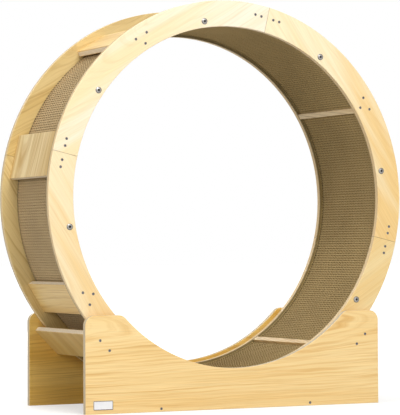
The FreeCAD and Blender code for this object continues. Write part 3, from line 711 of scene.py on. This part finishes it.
# %% The tree that makes a pad
FACE_WITHIN = 1 * MM       # a corner this near the pad's inner or outer radius is on that face


def from_y_axis(tree, place, centre):
    """The way out to a place from an axis that runs along Y through a centre, and its length."""
    apart = add(tree, "ShaderNodeVectorMath", [place, centre], operation="SUBTRACT")
    way_out = add(tree, "ShaderNodeVectorMath", [apart, (1, 0, 1)], operation="MULTIPLY")
    return way_out, add(tree, "ShaderNodeVectorMath", [way_out], operation="LENGTH").outputs["Value"]


pad_tree, size = new_tree(
    "corrugated_pad", Strips="Int", Flutes="Int", Samples="Int", Paper="Float", Liner="Float",
    Well="Float", Inner="Float", Outer="Float", Start="Float", Length="Float", Reach="Float",
    Drift="Float", Seed="Int", Axis="Vector", Material="Material")
sheets = [walls(pad_tree, size, wavy, outside) for wavy in (False, True) for outside in (False, True)]
flat = add(pad_tree, "GeometryNodeJoinGeometry", {"Geometry": sheets})

# roll the flat sheet round the axis: a length along it becomes a turn, at the pad's middle radius
position = add(pad_tree, "GeometryNodeInputPosition")
spot = add(pad_tree, "ShaderNodeSeparateXYZ", [position]).outputs
both_radii = add(pad_tree, "ShaderNodeMath", [size["Inner"], size["Outer"]], operation="ADD")
half_turns = add(pad_tree, "ShaderNodeMath", [spot["X"], both_radii], operation="DIVIDE")
turn = add(pad_tree, "ShaderNodeMath", [half_turns, 2.0, size["Start"]], operation="MULTIPLY_ADD")
along_x, along_z = (add(pad_tree, "ShaderNodeMath", [turn], operation=part)
                    for part in ("COSINE", "SINE"))
direction = add(pad_tree, "ShaderNodeCombineXYZ", {"X": along_x, "Z": along_z})
on_spoke = add(pad_tree, "ShaderNodeVectorMath", {0: direction, "Scale": spot["Z"]}, operation="SCALE")
over = add(pad_tree, "ShaderNodeCombineXYZ", {"Y": spot["Y"]})
rolled = add(pad_tree, "ShaderNodeVectorMath", [on_spoke, over], operation="ADD")
placed = add(pad_tree, "ShaderNodeVectorMath", [rolled, size["Axis"]], operation="ADD")
paper_walls = add(pad_tree, "GeometryNodeSetPosition", {"Geometry": flat, "Position": placed})

# draw the plain pad's two faces in to make the core
way_out, radius = from_y_axis(pad_tree, position, size["Axis"])
outwards = add(pad_tree, "ShaderNodeVectorMath", [way_out], operation="NORMALIZE")
on_inner, on_outer = (add(pad_tree, "ShaderNodeMath", [radius, size[face], FACE_WITHIN],
                          operation="COMPARE") for face in ("Inner", "Outer"))
inwards = add(pad_tree, "ShaderNodeMath", [on_inner, on_outer], operation="SUBTRACT")
draw_in = add(pad_tree, "ShaderNodeMath", [inwards, size["Well"]], operation="MULTIPLY")
offset = add(pad_tree, "ShaderNodeVectorMath", {0: outwards, "Scale": draw_in}, operation="SCALE")
core = add(pad_tree, "GeometryNodeSetPosition", {"Geometry": size["Geometry"], "Offset": offset})

whole = add(pad_tree, "GeometryNodeJoinGeometry", {"Geometry": [paper_walls, core]})
end_tree(pad_tree, whole, size["Material"])

# %% [markdown]
# ## Kraft board
# Brown paper made from recycled pulp: matt, warm grey-brown, speckled with darker and paler
# fibres. Down in a cell it looks darker, because less light gets there, and a real cell goes right
# through the pad, so it is darker than these shallow ones. So the colour also darkens with the depth
# below the face, which is painted shade, and painted shade darkens it along the rings too. Inside the
# wheel it is more golden, partly wear and partly painted shade. Outside, the cells' painted shade is
# weaker, and a plain grey takes the whole colour down instead.

# %% Kraft material
INSIDE_WEAR_AND_SHADE, OUTSIDE_GREY = "#ECE9D4", "#DDDCDB"   # what is left of the paper's colour: inside, wear and painted shade; outside, a plain grey
RING_SHADE_BAND = 8 * MM        # of painted shade along the rings
RING_SHADE_LEFT = 0.35          # what the painted shade leaves of the colour at the rings
OUTER_FADE = 0.28          # how fast the cells' painted shade darkens on the outside, against 1 inside

kraft, tree, shader, place = new_material("kraft_corrugated_board", roughness=0.95,
                                          specular_ior_level=0.12)
pulp = add(tree, "ShaderNodeTexNoise", {"Vector": place, "Scale": 420.0, "Detail": 4.0, "Roughness": 0.7})
patch = add(tree, "ShaderNodeTexNoise", {"Vector": place, "Scale": 9.0, "Detail": 2.0})
speck = add(tree, "ShaderNodeMapRange", [pulp, 0.3, 0.72])
paper = fill_ramp(add(tree, "ShaderNodeValToRGB", [speck]),
                  {0.0: "#D0AF7E", 0.5: "#EACD9D", 1.0: "#F6DFB4"})
uneven = add(tree, "ShaderNodeMapRange", [patch, *NOISE_REACH, 0.93, 1.05])

# painted shade: how dark a spot is, by its depth in a cell, and near the rings
radius = from_y_axis(tree, place, AXIS)[1]
from_core = add(tree, "ShaderNodeMath", [radius, PAD_MIDDLE], operation="SUBTRACT")
height = add(tree, "ShaderNodeMath", [from_core], operation="ABSOLUTE")
half_pad = (PAD_OUTER - PAD_INNER) / 2
up_the_wall = add(tree, "ShaderNodeMapRange", [height, half_pad - WELL, half_pad])
well_shade = fill_ramp(add(tree, "ShaderNodeValToRGB", [up_the_wall]), {0.0: 0.24, 0.86: 0.76, 0.99: 1})
fade = add(tree, "ShaderNodeMapRange", [radius, PAD_INNER, PAD_OUTER, 1.0, OUTER_FADE])
cells = add(tree, "ShaderNodeMath", [well_shade, fade], operation="POWER")
# painted shade along the rings, where the pads meet them
sideways = add(tree, "ShaderNodeSeparateXYZ", [place]).outputs["Y"]
off_centre = add(tree, "ShaderNodeMath", [sideways], operation="ABSOLUTE")
at_ring = add(tree, "ShaderNodeMapRange", [off_centre, PAD_REACH - RING_SHADE_BAND, PAD_REACH, 1.0, RING_SHADE_LEFT])
kept = add(tree, "ShaderNodeMath", [uneven, at_ring], operation="MULTIPLY")
shaded = add(tree, "ShaderNodeMath", [kept, cells], operation="MULTIPLY")

outside = add(tree, "ShaderNodeMapRange", [radius, PAD_INNER, PAD_OUTER])
side_tint = add(tree, "ShaderNodeMix", {0: outside, 6: colour(INSIDE_WEAR_AND_SHADE), 7: colour(OUTSIDE_GREY)}, data_type="RGBA")
tinted_paper = add(tree, "ShaderNodeVectorMath", [paper, side_tint.outputs[2]], operation="MULTIPLY")
brown = add(tree, "ShaderNodeVectorMath", [tinted_paper, shaded], operation="MULTIPLY")
rough = add(tree, "ShaderNodeBump", {"Height": pulp, "Strength": 0.4, "Distance": 0.3 * MM})
feed(tree, shader, {"Base Color": brown, "Normal": rough})
print(f"{len(tree.nodes)} nodes in the kraft board")

# %% Make the four pads
STRIP_CLEARANCE = 8.5 * MM + LINER / 2   # from a divider's middle to the first paper wall
END_TURN = math.asin(STRIP_CLEARANCE / PAD_INNER)

for number in QUARTERS:
    node = f"scratch_pad_{number}"
    plain_pad = bpy.data.meshes.new(node)
    joined = merged(node)
    joined.to_mesh(plain_pad)
    joined.free()
    pad = run_tree(
        f"corrugated_pad_{number}", plain_pad, pad_tree, Strips=PAD_STRIPS, Flutes=PAD_FLUTES,
        Samples=FLUTE_SAMPLES, Paper=PAPER, Liner=LINER, Well=WELL, Inner=PAD_INNER, Outer=PAD_OUTER,
        Start=turn_of(f"tie_board_{number}") + END_TURN, Length=(math.pi / 2 - 2 * END_TURN) * PAD_MIDDLE,
        Reach=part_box(node)[1].y, Drift=FLUTE_DRIFT, Seed=number, Axis=AXIS, Material=kraft)
    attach(pad, "wheel")
    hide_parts(node)

# %% [markdown]
# ## Screws
# The small fasteners are countersunk wood screws of zinc-plated steel. The frame says where
# each one is: every separate solid of a screw node has a box, and the middle of that box's outer
# face is the middle of a head. The tree makes one screw from cones and cylinders, cuts the cross
# recess out of its head, and sets a copy at every place, turned by chance about its own axis.

# %% Where the fasteners are


def loose_boxes(node):
    """The lowest and highest corner of each separate solid of a node, in a fixed order."""
    joined = merged(node)
    joined.verts.ensure_lookup_table()
    unseen, boxes = {vertex.index for vertex in joined.verts}, []
    while unseen:
        front_line = [joined.verts[min(unseen)]]
        unseen.discard(front_line[0].index)
        low, high = front_line[0].co.copy(), front_line[0].co.copy()
        while front_line:
            vertex = front_line.pop()
            low = Vector(map(min, low, vertex.co))
            high = Vector(map(max, high, vertex.co))
            for edge in vertex.link_edges:
                other = edge.other_vert(vertex)
                if other.index in unseen:
                    unseen.discard(other.index)
                    front_line.append(other)
        boxes.append((low, high))
    joined.free()
    return boxes


def head_places(node, outwards, sink=0.0):
    """One point for each solid of a node, on its outer face, with the way out kept as an attribute."""
    points = []
    for low, high in loose_boxes(node):
        centre, half = (low + high) / 2, (high - low) / 2
        points.append(centre + outwards * (abs(half.dot(outwards)) - sink))
    mesh = bpy.data.meshes.new(f"{node}_places")
    mesh.from_pydata(points, [], [])
    way_out = mesh.attributes.new("outwards", "FLOAT_VECTOR", "POINT")
    for entry in way_out.data:
        entry.vector = outwards
    return mesh


print(len(loose_boxes("front_seam_screws")), "seam screws on the front ring")

# %% Helpers that shape a fastener and set it at every point
HEAD_SIDES, SHANK_SIDES = 24, 12
POINT_SHARE = 0.25         # of the shank's radius is left at the screw's point
RECESS_TAPER = 0.45        # of the recess's reach is left at its bottom
CUTTER_HEIGHT = 1.2        # times the recess's depth, so that the cutter stands proud of the head


def set_at_points(tree, size, fastener):
    """Stand a fastener, drawn with its head up at the origin, on every point of the input mesh."""
    outwards = add(tree, "GeometryNodeInputNamedAttribute", ["outwards"], data_type="FLOAT_VECTOR")
    stood = add(tree, "FunctionNodeAlignRotationToVector", {"Vector": outwards}, axis="Z")
    chance = add(tree, "FunctionNodeRandomValue", {2: 0.0, 3: 2 * math.pi, "Seed": size["Seed"]})
    spin = add(tree, "FunctionNodeAxisAngleToRotation", [(0, 0, 1), chance.outputs[1]])
    turned = add(tree, "FunctionNodeRotateRotation", [stood, spin], rotation_space="LOCAL")
    return add(tree, "GeometryNodeInstanceOnPoints",
               {"Points": size["Geometry"], "Instance": fastener, "Rotation": turned})


def turned_solid(tree, sides, high_radius, low_radius, low, high):
    """A cylinder, cone or prism with so many sides between two heights."""
    tall = add(tree, "ShaderNodeMath", [high, low], operation="SUBTRACT")
    solid = add(tree, "GeometryNodeMeshCone", {"Vertices": sides, "Radius Top": high_radius,
                                               "Radius Bottom": low_radius, "Depth": tall})
    return add(tree, "GeometryNodeTransform", {
        "Geometry": solid, "Translation": add(tree, "ShaderNodeCombineXYZ", {"Z": low})})


def cross_cutter(tree, size):
    """Two wedges, crossed, that cut a recess which narrows towards its bottom."""
    deep = add(tree, "ShaderNodeMath", [size["Recess Depth"], -1], operation="MULTIPLY")
    reach = add(tree, "ShaderNodeMath", [size["Recess Reach"], math.sqrt(2)], operation="MULTIPLY")
    narrow = add(tree, "ShaderNodeMath", [reach, RECESS_TAPER], operation="MULTIPLY")
    tall = add(tree, "ShaderNodeMath", [size["Recess Depth"], CUTTER_HEIGHT], operation="MULTIPLY")
    block = add(tree, "GeometryNodeMeshCone", {"Vertices": 4, "Radius Top": reach,
                                               "Radius Bottom": narrow, "Depth": tall})
    square = add(tree, "GeometryNodeTransform", {"Geometry": block, "Rotation": (0, 0, math.pi / 4)})
    wide = add(tree, "ShaderNodeMath", [size["Recess Width"], size["Recess Reach"]], operation="DIVIDE")
    thin = add(tree, "ShaderNodeMath", [wide, 0.5], operation="MULTIPLY")
    one = add(tree, "GeometryNodeTransform", {
        "Geometry": square, "Scale": add(tree, "ShaderNodeCombineXYZ", [1.0, thin, 1.0]),
        "Translation": add(tree, "ShaderNodeCombineXYZ", {"Z": deep})})
    other = add(tree, "GeometryNodeTransform", {"Geometry": one, "Rotation": (0, 0, math.pi / 2)})
    return [one, other]


print(f"screw heads have {HEAD_SIDES} sides, shanks {SHANK_SIDES}")

# %% The tree that makes a countersunk screw
screw_tree, size = new_tree("countersunk_screw", **{
    "Head Radius": "Float", "Rim": "Float", "Shank Radius": "Float", "Length": "Float",
    "Recess Reach": "Float", "Recess Width": "Float", "Recess Depth": "Float", "Seed": "Int",
    "Material": "Material"})
under_rim, tip = (add(screw_tree, "ShaderNodeMath", [size[name], -1], operation="MULTIPLY")
                  for name in ("Rim", "Length"))
rim = turned_solid(screw_tree, HEAD_SIDES, size["Head Radius"], size["Head Radius"], under_rim, 0.0)
half_rim = add(screw_tree, "ShaderNodeMath", [under_rim, 0.5], operation="MULTIPLY")
slope = add(screw_tree, "ShaderNodeMath", [size["Head Radius"], size["Shank Radius"]],
            operation="SUBTRACT")
neck = add(screw_tree, "ShaderNodeMath", [half_rim, slope], operation="SUBTRACT")
cone = turned_solid(screw_tree, HEAD_SIDES, size["Head Radius"], size["Shank Radius"], neck, half_rim)
point = add(screw_tree, "ShaderNodeMath", [size["Shank Radius"], POINT_SHARE], operation="MULTIPLY")
shank = turned_solid(screw_tree, SHANK_SIDES, size["Shank Radius"], point, tip, under_rim)
solid = add(screw_tree, "GeometryNodeMeshBoolean", {1: [rim, cone, shank]}, operation="UNION")
screw = add(screw_tree, "GeometryNodeMeshBoolean", {0: solid, 1: cross_cutter(screw_tree, size)},
            operation="DIFFERENCE")
end_tree(screw_tree, set_at_points(screw_tree, size, screw), size["Material"])

# %% [markdown]
# ## Plated steel
# Steel fasteners get a thin bright plating. Zinc on the screws is a cool, slightly cloudy grey;
# nickel on the bolts is warmer and shinier. Both are worn a little unevenly by the driver, which
# the eye reads from the roughness. A metal keeps the default IOR.

# %% Plated steel


def mottled(tree, place, blotches, detail, stops):
    """Noise with so many blotches to a metre, and the ramp that colours it."""
    noise = add(tree, "ShaderNodeTexNoise", {"Vector": place, "Scale": blotches, "Detail": detail})
    return noise, fill_ramp(add(tree, "ShaderNodeValToRGB", [noise]), stops)


def plated_steel(name, bright, dull, smooth, worn, blotches=380.0, clear_of_dirt_and_shade=()):
    """Plated steel, its roughness from smooth to worn. The last argument gives the radii on a bolt's
    head between which it is left as it is: dirt and painted shade darken the socket, painted shade the
    rim."""
    material, tree, shader, place = new_material(name, metallic=1.0)
    cloud, shade = mottled(tree, place, blotches, 3.0, {0.35: dull, 0.65: bright})
    if clear_of_dirt_and_shade:
        socket, rim = clear_of_dirt_and_shade
        # dirt and painted shade darken the socket; painted shade darkens the rim
        reach = add(tree, "ShaderNodeAttribute", attribute_name="from_axis").outputs["Fac"]
        in_socket = add(tree, "ShaderNodeMapRange", [reach, socket, socket + 0.3 * MM, 0.12, 1.0])
        at_rim = add(tree, "ShaderNodeMapRange", [reach, rim, rim + 1.0 * MM, 1.0, 0.3])
        dirt_and_shade = add(tree, "ShaderNodeMath", [in_socket, at_rim], operation="MULTIPLY")
        shade = add(tree, "ShaderNodeVectorMath", [shade, dirt_and_shade], operation="MULTIPLY")
    rough = add(tree, "ShaderNodeMapRange", [cloud, *NOISE_REACH, smooth, worn])
    feed(tree, shader, {"Base Color": shade, "Roughness": rough})
    return material


zinc = plated_steel("zinc_plated_steel", "#8E8C8E", "#6B6A6C", 0.3, 0.5)
print("zinc plated steel made")

# %% Make the wood screws
SCREW = {"Head Radius": 3.4 * MM, "Rim": 0.3 * MM, "Shank Radius": 2.0 * MM, "Length": 39.5 * MM,
         "Recess Reach": 2.0 * MM, "Recess Width": 1.3 * MM, "Recess Depth": 1.7 * MM}
SCREW_SINK = 0.15 * MM     # the heads are driven just under the face of the wood

SCREW_NODES = [(f"{side}_{kind}_screws", way, body) for side, way in (("front", FRONT), ("rear", REAR))
               for kind, body in (("seam", "wheel"), ("tie", "wheel"), ("panel", "base"))]
for seed, (node, way, body) in enumerate(SCREW_NODES):
    screws = run_tree(f"{node}_set", head_places(node, way, SCREW_SINK), screw_tree, **SCREW,
                      Seed=seed, Material=zinc)
    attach(screws, body)
    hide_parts(node)

# %% [markdown]
# ## Ring bolts
# Eight big bolts on each ring screw into the rods that pull the rings together. Their head is a
# low dome with a hexagon socket. The dome is where a ball and a disc overlap, so the tree makes
# it with one Boolean, and cuts the socket with a second.

# %% The tree that makes a domed bolt
DOME_SIDES = 48
PROUD = 1 * MM             # how far the disc reaches past the dome, and the socket's cutter twice as far

bolt_tree, size = new_tree("domed_bolt", **{
    "Head Radius": "Float", "Head Height": "Float", "Dome Radius": "Float", "Socket Flat": "Float",
    "Socket Depth": "Float", "Shank Radius": "Float", "Length": "Float", "Seed": "Int",
    "Material": "Material"})
under_head, ball_middle, socket_floor, tip = (
    add(bolt_tree, "ShaderNodeMath", [size[name], -1], operation="MULTIPLY")
    for name in ("Head Height", "Dome Radius", "Socket Depth", "Length"))
disc = turned_solid(bolt_tree, DOME_SIDES, size["Head Radius"], size["Head Radius"], under_head, PROUD)
ball = add(bolt_tree, "GeometryNodeTransform", {
    "Geometry": add(bolt_tree, "GeometryNodeMeshUVSphere", {"Segments": DOME_SIDES, "Rings": 56,
                                                            "Radius": size["Dome Radius"]}),
    "Translation": add(bolt_tree, "ShaderNodeCombineXYZ", {"Z": ball_middle})})
dome = add(bolt_tree, "GeometryNodeMeshBoolean", {1: [disc, ball]}, operation="INTERSECT")
corner = add(bolt_tree, "ShaderNodeMath", [size["Socket Flat"], 1 / math.sqrt(3)], operation="MULTIPLY")
socket = turned_solid(bolt_tree, 6, corner, corner, socket_floor, 2 * PROUD)
head = add(bolt_tree, "GeometryNodeMeshBoolean", {0: dome, 1: socket}, operation="DIFFERENCE")
shank = turned_solid(bolt_tree, 16, size["Shank Radius"], size["Shank Radius"], tip, under_head)
bolt = add(bolt_tree, "GeometryNodeJoinGeometry", {"Geometry": [head, shank]})
reach = add(bolt_tree, "ShaderNodeVectorMath", [
    add(bolt_tree, "ShaderNodeVectorMath", [add(bolt_tree, "GeometryNodeInputPosition"), (1, 1, 0)],
        operation="MULTIPLY")], operation="LENGTH").outputs["Value"]
measured = add(bolt_tree, "GeometryNodeStoreNamedAttribute",
               {"Geometry": bolt, "Name": "from_axis", "Value": reach})
end_tree(bolt_tree, set_at_points(bolt_tree, size, measured), size["Material"])

# %% Make the ring bolts
BOLT = {"Head Radius": 8 * MM, "Head Height": 2.2 * MM, "Dome Radius": 20 * MM, "Socket Flat": 5 * MM,
        "Socket Depth": 1.6 * MM, "Shank Radius": 3 * MM, "Length": 36 * MM}
SHADED_RIM = 6.4 * MM        # the radius past which painted shade darkens the head
nickel = plated_steel("nickel_plated_steel", "#A5A29E", "#8F8C88", 0.3, 0.4, blotches=90.0,
                      clear_of_dirt_and_shade=(BOLT["Socket Flat"] / math.sqrt(3), SHADED_RIM))

for seed, (side, way) in enumerate((("front", FRONT), ("rear", REAR))):
    node = f"{side}_ring_bolts"
    bolts = run_tree(f"{node}_set", head_places(node, way), bolt_tree, **BOLT,
                     Seed=seed, Material=nickel)
    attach(bolts, "wheel")
    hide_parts(node)

# %% [markdown]
# ## Hidden steel
# The threaded rods, the roller brackets, their axles, nuts and screws are all zinc plated too.
# The frame has their true shapes, so they only need the finish. The brackets are bent from
# galvanised sheet, on which the zinc sets in large flat crystals: a Voronoi pattern gives each
# crystal a grey of its own.

# %% Finish the hidden steel
spangled, tree, shader, place = new_material("galvanised_sheet_steel", metallic=1.0)
crystal = add(tree, "ShaderNodeTexVoronoi", {"Vector": place, "Scale": 160.0}).outputs["Color"]
greys = fill_ramp(add(tree, "ShaderNodeValToRGB", [crystal]), {0.1: "#8D9092", 0.9: "#B4B7B8"})
rough = add(tree, "ShaderNodeMapRange", [crystal, 0, 1, 0.32, 0.5])
feed(tree, shader, {"Base Color": greys, "Roughness": rough})

CORNERS = [f"{side}_{end}" for side in ("front", "rear") for end in ("left", "right")]
for corner in CORNERS:
    finish_node(f"{corner}_bracket", spangled)
    finish_node(f"{corner}_axle", zinc)
for node in ("tie_rods", "axle_nuts", "bracket_screws"):
    finish_node(node, zinc)
print("4 brackets, 4 axles, the rods, nuts and bracket screws finished")

# %% [markdown]
# ## Rollers and bearings
# Nylon is turned on a lathe here: milky white, a little waxy, with faint rings round its axis left
# by the tool. Each bearing has a polished steel outer and inner ring and a black rubber seal
# between them, told apart by the distance from the axle, which runs along Y. The left and right
# rollers mirror each other, so one material serves them all by folding X over at the middle.

# %% Finish the rollers and bearings
ROLLER = middle("front_right_roller")
SEAL_FROM, SEAL_TO = 6.0 * MM, 9.0 * MM   # radii of the rubber seal


def from_axle(tree, place):
    """How far a place is from the nearest roller's axle."""
    folded = add(tree, "ShaderNodeVectorMath", [place], operation="ABSOLUTE")
    return from_y_axis(tree, folded, (ROLLER.x, 0, ROLLER.z))[1]


nylon, tree, shader, place = new_material("turned_nylon", subsurface_weight=0.08,
                                          subsurface_scale=2 * MM)
tool_marks = add(tree, "ShaderNodeTexNoise", {"W": from_axle(tree, place), "Scale": 2600.0,
                                              "Detail": 2.0}, noise_dimensions="1D")
worn, milk = mottled(tree, place, 120.0, 3.0, {0.3: "#DEDACE", 0.7: "#EDEAE0"})
waxy = add(tree, "ShaderNodeMapRange", [worn, *NOISE_REACH, 0.34, 0.5])
marks = add(tree, "ShaderNodeBump", {"Height": tool_marks, "Strength": 0.2, "Distance": 0.1 * MM})
feed(tree, shader, {"Base Color": milk, "Roughness": waxy, "Normal": marks})

bearing_finish, tree, shader, place = new_material("bearing_steel_and_rubber")
reach = from_axle(tree, place)
past_inner = add(tree, "ShaderNodeMath", [reach, SEAL_FROM], operation="GREATER_THAN")
before_outer = add(tree, "ShaderNodeMath", [reach, SEAL_TO], operation="LESS_THAN")
on_seal = add(tree, "ShaderNodeMath", [past_inner, before_outer], operation="MULTIPLY")
steel = mottled(tree, place, 240.0, 3.0, {0.3: "#B9BABC", 0.7: "#D0D1D2"})[1]
both = add(tree, "ShaderNodeMix", {0: on_seal, 6: steel, 7: colour("#1D1D1E")}, data_type="RGBA")
feed(tree, shader, {"Base Color": both.outputs[2],
                    "Metallic": add(tree, "ShaderNodeMapRange", [on_seal, 0, 1, 1.0, 0.0]),
                    "Roughness": add(tree, "ShaderNodeMapRange", [on_seal, 0, 1, 0.2, 0.6])})

for corner in CORNERS:
    finish_node(f"{corner}_roller", nylon)
    finish_node(f"{corner}_bearings", bearing_finish)
print(f"rollers {2 * ROLLER.x:.3f} m apart, {ROLLER.z:.3f} m up")

# %% [markdown]
# ## Badge plate
# A small aluminium plate with a raised rim, its field filled with white enamel and left bare. The
# field lies deeper than the rim's face, so how far forward a spot is tells enamel from metal.

# %% Finish the badge plate
FIELD_DEPTH = 0.25 * MM    # half of how deep the enamel lies below the rim
badge_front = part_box("badge_plate")[0].y

badge, tree, shader, place = new_material("enamelled_aluminium_plate")
forward = add(tree, "ShaderNodeSeparateXYZ", [place]).outputs["Y"]
on_field = add(tree, "ShaderNodeMath", [forward, badge_front + FIELD_DEPTH], operation="GREATER_THAN")
brushed = add(tree, "ShaderNodeVectorMath", [place, (60, 60, 4000)], operation="MULTIPLY")
# the rim's dark grey is partly its own metal and partly painted shade at the plate's edge
metal = mottled(tree, brushed, 1.0, 2.0, {0.3: "#67656A", 0.7: "#828086"})[1]
pebbled, enamel = mottled(tree, place, 90.0, 1.0, {0.3: "#EFEFF2", 0.7: "#F5F5F6"})
plate = add(tree, "ShaderNodeMix", {0: on_field, 6: metal, 7: enamel}, data_type="RGBA")
waves = add(tree, "ShaderNodeBump", {"Height": pebbled, "Strength": 0.05, "Distance": 0.1 * MM})
feed(tree, shader, {"Base Color": plate.outputs[2], "Normal": waves,
                    "Metallic": add(tree, "ShaderNodeMapRange", [on_field, 0, 1, 1.0, 0.0]),
                    "Roughness": add(tree, "ShaderNodeMapRange", [on_field, 0, 1, 0.38, 0.2])})
finish_node("badge_plate", badge)
print(f"badge front at y = {badge_front:.4f} m")
